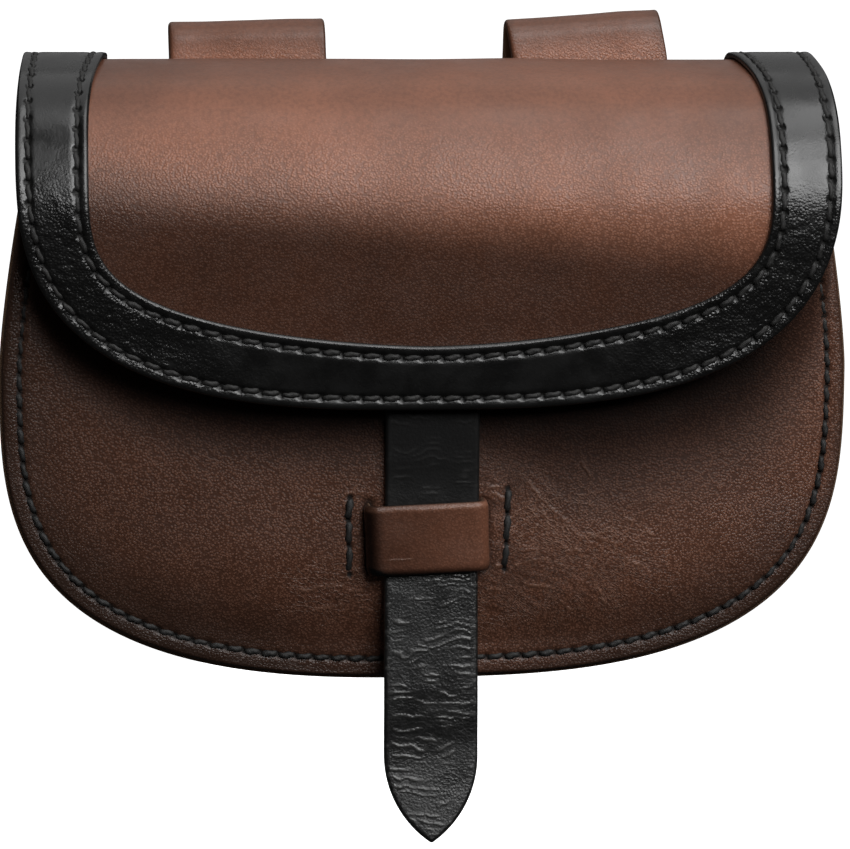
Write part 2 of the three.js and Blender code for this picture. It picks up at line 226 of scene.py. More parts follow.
def arc_length(points):
    return np.concatenate([[0], np.cumsum(np.linalg.norm(np.diff(points, axis=0), axis=1))])


def along(points, lengths):
    """Points at the given lengths along a polyline."""
    run = arc_length(points)
    return np.stack([np.interp(lengths, run, points[:, k]) for k in range(points.shape[1])], 1)


def spaced(points, pitch):
    """An open polyline resampled at an even pitch that fits its length."""
    total = arc_length(points)[-1]
    return along(points, np.linspace(0, total, max(round(total / pitch), 1) + 1))


def unit(vectors):
    return vectors / np.linalg.norm(vectors, axis=-1, keepdims=True)


def turned(x, z, degrees):
    """Both coordinates, turned about the origin."""
    angle = math.radians(degrees)
    return x * math.cos(angle) - z * math.sin(angle), x * math.sin(angle) + z * math.cos(angle)


def left_normals(points):
    step = unit(np.gradient(points, axis=0))
    return np.stack([-step[:, 1], step[:, 0]], 1)


def ring_normals(loop):
    """Inward unit normals of a closed loop of points."""
    after = np.roll(loop, -1, axis=0)
    step = unit(after - np.roll(loop, 1, axis=0))
    normals = np.stack([-step[:, 1], step[:, 0]], 1)
    area = np.sum(loop[:, 0] * after[:, 1] - after[:, 0] * loop[:, 1])
    return normals if area > 0 else -normals


def inside(points, loop):
    """Which points lie inside a closed loop."""
    found = np.zeros(len(points), bool)
    x, y = points[:, 0], points[:, 1]
    for (x0, y0), (x1, y1) in zip(loop, np.roll(loop, -1, axis=0)):
        crosses = (y0 > y) != (y1 > y)
        if y0 != y1:
            found ^= crosses & (x < (x1 - x0) * (y - y0) / (y1 - y0) + x0)
    return found


def nearest(points, marks):
    """Distance from each point to the nearest of the marks."""
    best = np.full(len(points), np.inf)
    for mark in marks:
        best = np.minimum(best, np.sum((points - mark) ** 2, axis=1))
    return np.sqrt(best)


def edge_insets(rounding):
    """Insets from a cut edge that follow its rounding evenly."""
    angles = np.linspace(0, math.pi / 2, EDGE_STEPS)
    return rounding * (1 - np.cos(angles))


# Shape of the flap, the outlines and the front panel

def eased(values, reach):
    """Values along the walk of the flap, averaged over a window of the given length."""
    window = round(reach / WALK_STEP)
    padded = np.pad(values, window, mode="edge")
    return np.convolve(padded, np.ones(window) / window, mode="same")[window:-window]


def flap_walk():
    """Arc length, depth, height and heading along the middle of back panel and flap."""
    lengths = [BACK_LENGTH] + [radius * math.radians(turn) for radius, turn in FLAP_BENDS]
    turns = [0.0] + [math.radians(turn) for _, turn in FLAP_BENDS]
    ends = np.concatenate([[0], np.cumsum(lengths)])
    s = np.arange(0, ends[-1], WALK_STEP)
    heading = eased(np.interp(s, ends, np.concatenate([[0], np.cumsum(turns)])), WALK_EASE)
    start_y = -(PASSAGE_DEPTH / 2 + LOOP + GAP + PANEL / 2)
    y = start_y - np.cumsum(np.sin(heading)) * WALK_STEP
    z = np.cumsum(np.cos(heading)) * WALK_STEP
    return s, y, z - z.max() + CREST_Z - PANEL / 2, heading


WALK_S, WALK_Y, WALK_Z, WALK_HEADING = flap_walk()
CREST = int(np.argmax(WALK_Z))
CREST_S = WALK_S[CREST]
BELLY = np.where(WALK_S > CREST_S, np.interp(WALK_Z, BELLY_Z, BELLY_OUT), 0)
WALK_BELLY = eased(BELLY, BELLY_EASE)


def flap_z(s):
    return np.interp(s, WALK_S, WALK_Z)


def front_s(z):
    """Arc length of a height on the front side of the flap."""
    return np.interp(-z, -WALK_Z[CREST:], WALK_S[CREST:])


def back_s(z):
    return np.interp(z, WALK_Z[:CREST], WALK_S[:CREST])


def on_flap(flat, height):
    x, s = flat[:, 0], flat[:, 1]
    heading = np.interp(s, WALK_S, WALK_HEADING)
    height = height + np.interp(s, WALK_S, WALK_BELLY)
    y = np.interp(s, WALK_S, WALK_Y) + np.cos(heading) * height
    z = flap_z(s) + np.sin(heading) * height
    return np.stack([x, y, z], 1)


def lean(z):
    return BODY_LEAN * (z - CREST_Z)


def side_half(row, z):
    rise = np.clip((z - row["widest"]) / (row["top"] - row["widest"]), 0, 1)
    return row["wide"] - (row["wide"] - row["top_wide"]) * rise ** row["ease"]


def foot_run(row, count=400):
    """The rounded foot of an outline as x and z, from its left to its right."""
    angle = np.linspace(math.pi, 0, count)
    across = np.sign(np.cos(angle)) * np.abs(np.cos(angle)) ** (2 / row["across"])
    down = np.abs(np.sin(angle)) ** (2 / row["down"])
    return row["wide"] * across, row["widest"] - row["drop"] * down


def flap_run(row, from_s, count=120):
    """An outline on the flap as flat (x, s) points, from its left top round the lip to its right."""
    side_s = np.linspace(from_s, front_s(row["widest"]), count)[:-1]
    side_x = side_half(row, np.where(side_s < CREST_S, row["top"], flap_z(side_s)))
    foot_x, foot_z = foot_run(row)
    left = np.stack([-side_x, side_s], 1)
    foot = np.stack([foot_x, front_s(foot_z)], 1)
    return np.concatenate([left, foot, left[::-1] * [-1, 1]])


def body_outline(side_z, side_v, place):
    """The body's outline from its left top round the foot, as points of x and of v."""
    half = side_half(BODY, side_z)
    foot_x, foot_z = foot_run(BODY)
    left = np.stack([lean(side_z) - half, side_v], 1)
    foot = np.stack([foot_x + lean(foot_z), place(foot_z)], 1)
    right = np.stack([lean(side_z) + half, side_v], 1)[::-1]
    return np.concatenate([left, foot, right])


def back_run(count=160):
    """The back panel's outline as flat (x, s) points."""
    side_s = np.linspace(CREST_S, back_s(BODY["widest"]), count)[:-1]
    return body_outline(flap_z(side_s), side_s, back_s)


def body_run(count=120):
    """The body's front-view outline as (x, z) points, below the front panel's top."""
    side_z = np.linspace(FRONT_TOP_Z, BODY["widest"], count)[:-1]
    return body_outline(side_z, side_z, lambda z: z)


def seam_y(z):
    return SEAM_TOP_Y + (z - FRONT_TOP_Z) / (FOOT_Z - FRONT_TOP_Z) * (SEAM_FOOT_Y - SEAM_TOP_Y)


def front_y(x, z):
    """Outer face of the front panel."""
    reach = np.where(z < DOME_Z, DOME_Z - FOOT_Z, FRONT_TOP_Z - DOME_Z)
    across = np.abs(x - lean(z)) / (BODY["wide"] - DOME_RIM)
    down = np.abs(z - DOME_Z) / (reach - DOME_RIM)
    rim = (across ** DOME_ACROSS + down ** DOME_ACROSS) ** (1 / DOME_ACROSS)
    return seam_y(z) - DOME * np.clip(1 - rim ** 2, 0, None) ** DOME_POWER


def on_panel(flat, height):
    x, z = flat[:, 0], flat[:, 1]
    return np.stack([x, front_y(x, z) + PANEL / 2 - height, z], 1)


# Patterns: flat points, faces, rim mask and inset from the cut edge

def lattice_points(low, high, pitch):
    """Points of a triangular lattice in a rectangle."""
    grid_v, grid_u = np.mgrid[low[1]:high[1]:pitch * math.sqrt(3) / 2, low[0]:high[0]:pitch]
    grid_u = grid_u + (np.arange(grid_u.shape[0]) % 2)[:, None] * pitch / 2
    return np.stack([grid_u.ravel(), grid_v.ravel()], 1)


def cut_pattern(outline, rings, lattice, fine_zone=None):
    """A sheet cut to a closed outline: points round its edge and at rings inside it, then a lattice.

    A fine zone is a function that says which points lie in it, and its own pitch.
    """
    closed = np.concatenate([outline, outline[:1]])
    rim = spaced(closed, EDGE_PITCH)[:-1]
    inward = ring_normals(rim)
    insets = np.concatenate([edge_insets(ROUNDING), rings])
    grid = lattice_points(rim.min(0), rim.max(0), lattice)
    if fine_zone:
        in_zone, pitch = fine_zone
        fine = lattice_points(rim.min(0), rim.max(0), pitch)
        grid = np.concatenate([grid[~in_zone(grid)], fine[in_zone(fine)]])
    grid = grid[inside(grid, rim + inward * (insets[-1] + RING_CLEARANCE * lattice))]
    points = np.concatenate([*[rim + inward * inset for inset in insets], grid])
    border = [(i, (i + 1) % len(rim)) for i in range(len(rim))]
    made = delaunay_2d_cdt([Vector(p) for p in points], border, [], CDT_INSIDE, CDT_EPSILON)
    flat = np.array([tuple(p) for p in made[0]])
    origin = np.array([source[0] for source in made[3]])
    inset = np.concatenate([np.repeat(insets, len(rim)), nearest(grid, rim[::3])])[origin]
    return flat, np.array(made[2]), origin < len(rim), inset


def grid_faces(rows, columns):
    index = np.arange(rows * columns).reshape(rows, columns)
    corners = [index[:-1, :-1], index[:-1, 1:], index[1:, 1:], index[1:, :-1]]
    return np.stack(corners, -1).reshape(-1, 4)


def spread(length, step, rounding=ROUNDING):
    """Positions across a strip, from edge to edge, close together at its rounded edges."""
    edge = edge_insets(rounding)
    count = max(round((length - 2 * rounding) / step), 2) + 1
    middle = np.linspace(rounding, length - rounding, count)
    return np.concatenate([edge, middle[1:-1], length - edge[::-1]])


def strip_pattern(length, width, step_along, step_across, rounding=ROUNDING):
    """A rectangular strip, its flat points (along, across) with `across` centred."""
    u = spread(length, step_along, rounding)
    v = spread(width, step_across, rounding) - width / 2
    grid_u, grid_v = np.meshgrid(u, v, indexing="ij")
    flat = np.stack([grid_u.ravel(), grid_v.ravel()], 1)
    from_ends = np.minimum(flat[:, 0], length - flat[:, 0])
    inset = np.minimum(from_ends, width / 2 - np.abs(flat[:, 1]))
    return flat, grid_faces(len(u), len(v)), inset < ON_EDGE, np.clip(inset, 0, None)


def off_path(u, height, run, path, normals):
    """Both coordinates of points that stand off a path, at lengths u along it."""
    return [np.interp(u, run, path[:, k]) + np.interp(u, run, normals[:, k]) * height for k in (0, 1)]


# Meshes

def make_piece(name, points, faces, material, node=None, marks=None):
    """A smooth closed mesh of points in millimetres that rides on the part, with its marks."""
    mesh = bpy.data.meshes.new(name)
    every_face = [face for group in faces for face in group.tolist()]
    mesh.from_pydata((points * MM).tolist(), [], every_face)
    for key, values in (marks or {}).items():
        kind, field = ("FLOAT", "value") if values.ndim == 1 else ("FLOAT_VECTOR", "vector")
        mark = mesh.attributes.new(key, kind, "POINT")
        mark.data.foreach_set(field, values.astype(np.float32).ravel())
    shell = bmesh.new()
    shell.from_mesh(mesh)
    bmesh.ops.recalc_face_normals(shell, faces=shell.faces)
    shell.to_mesh(mesh)
    shell.free()
    mesh.shade_smooth()
    mesh.materials.append(material)
    piece = bpy.data.objects.new(name, mesh)
    bpy.context.scene.collection.objects.link(piece)
    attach(piece, "root")
    if node:
        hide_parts(node)


def half_thickness(inset, thickness, rounding):
    return thickness / 2 * np.sqrt(1 - (1 - np.clip(inset / rounding, 0, 1)) ** 2)


def make_sheet(name, pattern, thickness, place, material, node, relief, marks,
               burnish_and_shade=BURNISH_REACH, rounding=ROUNDING):
    """A closed sheet of leather: its outer face with relief, its inner face, and rounded edges."""
    flat, faces, rim, inset = pattern
    half = half_thickness(inset, thickness, rounding)
    outer = place(flat, half + relief * smoothstep(0, RELIEF_EDGE, inset))
    inner = place(flat, -half)
    count = len(flat)
    twin = np.where(rim, np.arange(count), count - 1 + np.cumsum(~rim))
    points = np.concatenate([outer, inner[~rim]])
    both = {"burnish_and_shade": np.exp(-inset / burnish_and_shade), "tone_and_painted_shading": np.ones(count), "hole_shade": np.zeros(count)}
    both.update(marks)
    values = {key: np.concatenate([value, value[~rim]]) for key, value in both.items()}
    values["flesh"] = np.concatenate([np.zeros(count), np.ones(int((~rim).sum()))])
    make_piece(name, points, [faces, twin[faces][:, ::-1]], material, node, values)


# Stitching

def dents(points, holes):
    """0 to 1 marks at stitch holes."""
    return smoothstep(1.35 * HOLE_RADIUS, 0.55 * HOLE_RADIUS, nearest(points, holes))


def thread_runs(holes, place, height, slant=THREAD_SLANT):
    """World points, normals and slants of a run of stitches through flat hole positions."""
    low = place(holes, np.full(len(holes), height))
    high = place(holes, np.full(len(holes), height + 1))
    normal = unit(high - low)
    return [(low[i], low[i + 1], normal[i], slant) for i in range(len(holes) - 1)]


def make_stitches(name, runs, seed, thickness=1.0):
    """Waxed two-ply threads: each dips into its holes and lies a little slanted between them."""
    rng = np.random.default_rng(seed)
    t = np.linspace(0, 1, THREAD_STATIONS)
    angle = np.linspace(0, 2 * math.pi, THREAD_SIDES, endpoint=False)
    grid_t, grid_a = np.meshgrid(t, angle, indexing="ij")
    arch = 1 - (2 * t - 1) ** 4
    fullness = np.sqrt(np.sin(math.pi * np.clip(t, 0.02, 0.98)))
    taper = 1 - THREAD_TAPER + THREAD_TAPER * fullness
    sides = np.arange(THREAD_SIDES)
    after = np.roll(sides, -1)
    ring = np.arange(THREAD_STATIONS - 1)[:, None] * THREAD_SIDES
    beyond = ring + THREAD_SIDES
    quads = np.stack([ring + sides, ring + after, beyond + after, beyond + sides], -1).reshape(-1, 4)
    caps = [sides[::-1], (THREAD_STATIONS - 1) * THREAD_SIDES + sides]
    first, span = THREAD_SPAN
    points = []
    all_quads = []
    all_caps = []
    for index, (start, end, normal, slant) in enumerate(runs):
        way = unit(end - start)
        side = unit(np.cross(normal, way))
        rise = np.cross(way, side)
        radius = thickness * THREAD_RADIUS * rng.uniform(0.9, 1.12)
        lean_out = slant * rng.uniform(0.75, 1.25)
        lift = rng.uniform(-0.05, 0.08)
        centre = start + (end - start) * (first + span * t[:, None])
        centre = centre + side * (lean_out * (1 - 2 * t))[:, None]
        centre = centre + rise * (lift * arch - THREAD_DIP * (1 - arch))[:, None]
        twist = 2 * grid_a - 2 * math.pi * PLY_TURNS * grid_t + rng.uniform(0, 6)
        around = radius * taper[:, None] * (1 + PLY_DEPTH * np.cos(twist))
        shell = (centre[:, None, :]
                 + (around * np.cos(grid_a))[..., None] * side
                 + (THREAD_FLATNESS * around * np.sin(grid_a))[..., None] * rise)
        offset = index * THREAD_STATIONS * THREAD_SIDES
        points.append(shell.reshape(-1, 3))
        all_quads.append(quads + offset)
        all_caps.extend([cap + offset for cap in caps])
    faces = [np.concatenate(all_quads), np.array(all_caps)]
    make_piece(name, np.concatenate(points), faces, THREAD)


# Materials

PEBBLE_STRETCH = (0.95, 1.0, 1.05)
NOISE_ROUGHNESS = 0.55
VALLEY_SHADE = 0.34
LINE_SHOW = 0.5
LINE_RISE = 0.14
BURNISH_SHOW = 0.85
FLESH_ROUGH = 0.4
HOLE_ROUGH = 0.4
DULL_ROUGH = 0.3
SHADE_SPECULAR_TINT = 0.25
THREAD_DARK = (0.004, 0.0038, 0.0036, 1)
THREAD_LIGHT = (0.018, 0.017, 0.016, 1)


class Shader:
    """A small builder for a Principled material's nodes."""

    def __init__(self, name):
        self.material = bpy.data.materials.new(name)
        self.material.use_nodes = True
        self.tree = self.material.node_tree
        self.surface = self.tree.nodes["Principled BSDF"]
        self.place = self.add("ShaderNodeTexCoord").outputs["Object"]

    def feed(self, socket, value):
        """Links a node's output to a socket, or sets the socket's own value."""
        if isinstance(value, bpy.types.NodeSocket):
            self.tree.links.new(value, socket)
        else:
            socket.default_value = value

    def add(self, kind, inputs=None, **settings):
        node = self.tree.nodes.new(kind)
        for key, value in settings.items():
            setattr(node, key, value)
        for key, value in (inputs or {}).items():
            self.feed(node.inputs[key], value)
        return node

    def set(self, **sockets):
        for name, value in sockets.items():
            self.feed(self.surface.inputs[name.replace("_", " ")], value)

    def mark(self, name):
        return self.add("ShaderNodeAttribute", attribute_name=name).outputs["Fac"]

    def math(self, operation, a, b, clamp=False):
        node = self.add("ShaderNodeMath", {0: a, 1: b}, operation=operation, use_clamp=clamp)
        return node.outputs["Value"]

    def ranged(self, value, low, high, to_low=0.0, to_high=1.0):
        inputs = {"Value": value, "From Min": low, "From Max": high,
                  "To Min": to_low, "To Max": to_high}
        node = self.add("ShaderNodeMapRange", inputs, interpolation_type="SMOOTHSTEP")
        return node.outputs["Result"]

    def noise(self, size_mm, detail):
        inputs = {"Vector": self.place, "Scale": 1 / (size_mm * MM), "Detail": detail,
                  "Roughness": NOISE_ROUGHNESS}
        return self.add("ShaderNodeTexNoise", inputs).outputs["Fac"]

    def cells(self, size_mm):
        """Pebbles with narrow valleys between them, a little wider than they are high."""
        stretched = self.add("ShaderNodeMapping", {"Vector": self.place, "Scale": PEBBLE_STRETCH})
        inputs = {"Vector": stretched.outputs["Vector"], "Scale": 1 / (size_mm * MM)}
        node = self.add("ShaderNodeTexVoronoi", inputs, feature="F1")
        return self.ranged(node.outputs["Distance"], 0.2, 0.75, 1.0, 0.0)

    def crackle(self):
        """Thin wavering crease lines, 0 to 1, in cells of the mesh's own flow coordinates."""
        flow = self.add("ShaderNodeAttribute", attribute_name="flow").outputs["Vector"]
        waver = self.add("ShaderNodeTexNoise", {"Vector": flow, "Scale": 1.7, "Detail": 2.0},
                         noise_dimensions="2D").outputs["Color"]
        flow = self.add("ShaderNodeVectorMath", {0: flow, 1: self.scaled(waver, 0.6)},
                        operation="ADD").outputs["Vector"]
        node = self.add("ShaderNodeTexVoronoi", {"Vector": flow, "Scale": 1.0},
                        feature="DISTANCE_TO_EDGE", voronoi_dimensions="2D")
        lines = self.ranged(node.outputs["Distance"], 0.0, 0.13, 1.0, 0.0)
        return self.math("MULTIPLY", lines, self.ranged(self.noise(4.5, 2), 0.36, 0.6, 0.1, 1.0))

    def mix(self, factor, a, b):
        return self.add("ShaderNodeMix", {0: factor, 6: a, 7: b}, data_type="RGBA").outputs[2]

    def scaled(self, colour, factor):
        node = self.add("ShaderNodeVectorMath", {0: colour, "Scale": factor}, operation="SCALE")
        return node.outputs["Vector"]

    def bump(self, height, distance_mm, strength, normal=None):
        inputs = {"Height": height, "Distance": distance_mm * MM, "Strength": strength}
        if normal:
            inputs["Normal"] = normal
        return self.add("ShaderNodeBump", inputs).outputs["Normal"]


def leather(name, base, warm, edge, flesh, bright, gloss, specular, cell_mm, bump_mm, pebble_glint_show):
    """Waxed leather: mottled colour, pebbled grain, creases, burnished edges, a rough flesh side, and
    painted shade and light from its marks.
    """
    shader = Shader(name)
    grain = shader.mark("grain")
    inner = shader.mark("flesh")
    hole_shade = shader.mark("hole_shade")
    dull_and_painted_shade = shader.mark("dull_and_painted_shade")
    mottle = shader.ranged(shader.noise(24, 4), 0.36, 0.64)
    fleck = shader.ranged(shader.noise(1.1, 2), 0.35, 0.75, 0.0, 0.22)
    cells = shader.cells(cell_mm)
    lines = shader.math("MULTIPLY", shader.crackle(), shader.mark("worn"))
    lines = shader.math("MAXIMUM", lines, shader.mark("line"))

    colour = shader.mix(mottle, base, warm)
    colour = shader.mix(fleck, colour, edge)
    # Painted shade in the grain's valleys.
    valley = shader.math("MULTIPLY", shader.math("SUBTRACT", 1.0, cells), grain)
    colour = shader.mix(shader.math("MULTIPLY", valley, VALLEY_SHADE, True), colour, edge)
    # Painted glints on the pebble tops.
    pebble_glint = shader.math("MULTIPLY", shader.ranged(cells, 0.65, 1.0), grain)
    colour = shader.mix(shader.math("MULTIPLY", pebble_glint, pebble_glint_show, True), colour, bright)
    colour = shader.mix(shader.math("MULTIPLY", lines, LINE_SHOW, True), colour, bright)
    # The tone mark: the leather's own tone, and on the flap, front panel, keeper and loops also
    # painted shade and painted light.
    colour = shader.scaled(colour, shader.mark("tone_and_painted_shading"))
    # Burnished edges; on the front panel they are widened as painted shade.
    burnish_and_shade = shader.math("MULTIPLY", shader.mark("burnish_and_shade"), BURNISH_SHOW, True)
    colour = shader.mix(burnish_and_shade, colour, edge)
    colour = shader.mix(inner, colour, flesh)
    # Near-black painted shade in stitch holes and keeper slits.
    colour = shader.mix(hole_shade, colour, HOLE_SHADE_COLOUR)

    rough = shader.ranged(shader.noise(9, 3), 0.3, 0.7, gloss - 0.05, gloss + 0.06)
    for mark, amount in ((inner, FLESH_ROUGH), (hole_shade, HOLE_ROUGH), (dull_and_painted_shade, DULL_ROUGH)):
        rough = shader.math("ADD", rough, shader.math("MULTIPLY", mark, amount))
    fine = shader.math("MULTIPLY", shader.noise(0.4, 2), 0.3)
    height = shader.math("ADD", shader.math("MULTIPLY", cells, grain), fine)
    normal = shader.bump(height, bump_mm, 1.0)
    normal = shader.bump(lines, LINE_RISE, 1.0, normal)
    normal = shader.bump(shader.noise(3.2, 3), 0.07, 0.5, normal)
    # The dull mark turns the specular down where shadow is painted; on the strap's hanging part it is
    # also a duller finish.
    tint = shader.ranged(dull_and_painted_shade, 0.2, 1.0, 1.0, SHADE_SPECULAR_TINT)
    shader.set(Base_Color=colour, Roughness=rough, Normal=normal,
               Specular_IOR_Level=specular, Specular_Tint=tint)
    return shader.material


def waxed_thread(name):
    """Dark waxed linen thread with fibres along it."""
    shader = Shader(name)
    fibre = shader.noise(0.22, 3)
    colour = shader.mix(shader.ranged(fibre, 0.35, 0.7), THREAD_DARK, THREAD_LIGHT)
    rough = shader.ranged(fibre, 0.3, 0.7, 0.55, 0.72)
    shader.set(Base_Color=colour, Roughness=rough, Normal=shader.bump(fibre, 0.08, 0.8))
    return shader.material


# Near-black painted shade for stitch holes and slits.
HOLE_SHADE_COLOUR = (0.005, 0.0045, 0.004, 1)
BROWN = leather("brown_leather",
                base=(0.225, 0.09, 0.052, 1), warm=(0.265, 0.104, 0.059, 1),
                edge=(0.022, 0.012, 0.008, 1), flesh=(0.12, 0.07, 0.042, 1),
                bright=(0.5, 0.26, 0.17, 1), gloss=0.38, specular=0.38,
                cell_mm=0.6, bump_mm=0.055, pebble_glint_show=0.26)
BLACK = leather("black_leather",
                base=(0.0024, 0.0023, 0.0022, 1), warm=(0.0036, 0.0035, 0.0034, 1),
                edge=(0.008, 0.008, 0.0078, 1), flesh=(0.03, 0.028, 0.026, 1),
                bright=(0.2, 0.197, 0.19, 1), gloss=0.28, specular=0.6,
                cell_mm=0.7, bump_mm=0.07, pebble_glint_show=0.02)
THREAD = waxed_thread("waxed_thread")


# Back panel and flap

FLAP_LATTICE = 1.6
FLAP_RINGS = [1.6, 2.6, 3.6, 4.4, 5.4]
FLAP_WAVE = 0.25
# Painted shading of the flap's front: its tilt across x, its base, painted light at the shoulder, and
# painted shade at the crest, upper corners, lower flap and upper left.
PAINTED_LIGHT_TILT = 0.105
TONE_CROWN = 0.86
PAINTED_SHOULDER_LIGHT = 0.42
PAINTED_CREST_SHADE = 0.2
PAINTED_CORNER_SHADE = 0.25
PAINTED_LIP_SHADE = 0.76
PAINTED_LEFT_SHADE = 0.12
TONE_BACK = 0.75
BACK_GRAIN = 0.7


def make_back_flap(flap_outline):
    outline = np.concatenate([back_run(), flap_outline[::-1]])
    pattern = cut_pattern(outline, FLAP_RINGS, FLAP_LATTICE)
    flat = pattern[0]
    x, s = flat[:, 0], flat[:, 1]
    z = flap_z(s)
    front = s > CREST_S
    wave = FLAP_WAVE * value_noise(x / 24, s / 17, 3)
    dent = np.where(front, 0, dents(flat, spaced(back_seam, SEAM_PITCH)))
    # Painted shading of the flap's front: lighter below the crest down to the shoulder, reaching
    # lower on the right, with painted shade at the crest, the upper corners, the lower flap towards
    # the lip and the upper left.
    slid = z + PAINTED_LIGHT_TILT * x
    tone_and_painted_shading = TONE_CROWN + PAINTED_SHOULDER_LIGHT * smoothstep(0, -20, slid)
    tone_and_painted_shading = tone_and_painted_shading - PAINTED_CREST_SHADE * smoothstep(2, CREST_Z, z)
    tone_and_painted_shading = tone_and_painted_shading * (1 - PAINTED_CORNER_SHADE * smoothstep(45, 85, np.abs(x)) * smoothstep(-14, -2, z))
    tone_and_painted_shading = tone_and_painted_shading * (1 - PAINTED_LIP_SHADE * smoothstep(-22, -40, slid))
    tone_and_painted_shading = tone_and_painted_shading * (1 - PAINTED_LEFT_SHADE * smoothstep(-20, -80, x) * smoothstep(-30, -20, z))
    marks = {"grain": np.where(front, 0.12 + 0.68 * smoothstep(-2, -22, z), BACK_GRAIN),
             "hole_shade": dent, "tone_and_painted_shading": np.where(front, tone_and_painted_shading, TONE_BACK)}
    make_sheet("back_and_flap", pattern, PANEL, on_flap, BROWN, "back_flap",
               wave - HOLE_DEPTH * dent, marks)


# Trim band

BAND_SEAT = 0.1
BAND_ROUNDING = 0.7
BAND_BURNISH = 0.5
BAND_STATIONS = 460
BAND_ACROSS = 40
TRIM_MID = PANEL / 2 + BAND_SEAT / 2 + (TRIM + GAP) / 2


def on_trim(flat, height):
    return on_flap(flat, TRIM_MID + height)


def band_columns(run, count):
    """A band edge resampled so that both edges keep step: sides, then the rounded lip."""
    lip = int(np.argmax(run[:, 1]))
    left = along(run[:lip + 1], np.linspace(0, arc_length(run[:lip + 1])[-1], count))
    right = along(run[lip:], np.linspace(0, arc_length(run[lip:])[-1], count))
    return np.concatenate([left, right[1:]])


def make_trim(outer_run, inner_run, holes):
    outer = band_columns(outer_run, BAND_STATIONS)
    inner = band_columns(inner_run, BAND_STATIONS)
    width = np.linalg.norm(inner - outer, axis=1)
    edge = edge_insets(BAND_ROUNDING)
    across = [inset / width for inset in edge]
    across += [BAND_ROUNDING / width + (1 - 2 * BAND_ROUNDING / width) * part
               for part in np.linspace(0, 1, BAND_ACROSS, endpoint=False)[1:]]
    across += [1 - inset / width for inset in edge[::-1]]
    across = np.stack(across, 1)
    rows, columns = across.shape
    flat = outer[:, None, :] + across[..., None] * (inner - outer)[:, None, :]
    flat = flat.reshape(-1, 2)
    inset = (np.minimum(across, 1 - across) * width[:, None]).ravel()
    ends = np.zeros((rows, columns), bool)
    ends[[0, -1]] = True
    rim = (inset < ON_EDGE) | ends.ravel()
    inset = np.where(rim, 0, inset)
    x, s = flat[:, 0], flat[:, 1]
    dent = dents(flat, holes)
    corner = smoothstep(-16, -38, flap_z(s)) * smoothstep(30, 78, np.abs(x))
    groove = bell(inset - BAND_STITCH_INSET, GROOVE_WIDTH)
    relief = -HOLE_DEPTH * dent - GROOVE_DEPTH * groove
    relief = relief + 0.12 * value_noise(x / 15, s / 11, 8)
    relief = relief + 0.1 * corner * value_noise(x / 1.6, s / 1.1, 9)
    marks = {"grain": 0.08 + 0.8 * corner, "hole_shade": dent}
    pattern = (flat, grid_faces(rows, columns), rim, inset)
    make_sheet("flap_trim_band", pattern, TRIM + GAP - BAND_SEAT, on_trim, BLACK,
               "flap_trim", relief, marks, BAND_BURNISH)


# Front panel

def keeper_matrix():
    step = KEEPER_HEIGHT / 2
    rise = front_y(KEEPER_X, KEEPER_Z + step) - front_y(KEEPER_X, KEEPER_Z - step)
    seat = Matrix.Translation((KEEPER_X, float(front_y(KEEPER_X, KEEPER_Z)), KEEPER_Z))
    tilt = Matrix.Rotation(-math.atan2(float(rise), 2 * step), 4, "X")
    return seat @ tilt @ Matrix.Rotation(math.radians(-KEEPER_TURN), 4, "Y")


def moved(matrix, points):
    turn = np.array(matrix.to_3x3())
    return points @ turn.T + np.array(matrix.translation)


LEG_X = (KEEPER_SPAN - KEEPER) / 2
KEEPER_STITCHES = [
    [(-20.0, -99.4), (-20.3, -105.2), (-20.2, -111.6), (-20.0, -118.8)],
    [(19.7, -97.6), (19.6, -103.9), (19.3, -111.4), (19.0, -117.8)],
]
FAN_TURN = -46


def hill(x, z, centre, reach, turn=0.0):
    """A soft hill, 0 to 1, of the given half-widths, turned by degrees."""
    u, v = turned(x - centre[0], z - centre[1], -turn)
    return np.exp(-(u / reach[0]) ** 2 - (v / reach[1]) ** 2)


def panel_creases(x, z):
    """Where the front panel is creased by use, and the creases' flow: cells along and across them."""
    fan = np.clip(1.3 * hill(x, z, (35, -112), (26, 15), -42), 0, 1)
    below = 1.3 * hill(x, z, (18, -127), (24, 8), 4) + 1.1 * hill(x, z, (-25, -122), (14, 7), 6)
    below = np.clip(below, 0, 1)
    puckers = hill(x, z, (15.5, -98), (5, 3)) + hill(x, z, (-19, -98), (5, 2.5))
    puckers = puckers + hill(x, z, (-21, -120), (5, 3))
    along_fan, across_fan = turned(x, z, -FAN_TURN)
    across_fan = across_fan + 1.6 * np.sin(along_fan / 9)
    along_level = x - 0.1 * z
    across_level = z + 0.1 * x + 1.2 * np.sin(x / 6)
    share = fan / (fan + below + puckers + 0.02)
    flow_u = share * along_fan / 2.4 + (1 - share) * along_level / 2.0
    flow_v = share * across_fan / 1.5 + (1 - share) * across_level / 1.3
    return np.clip(fan + below + puckers, 0, 1), np.stack([flow_u, flow_v, 0 * x], 1)


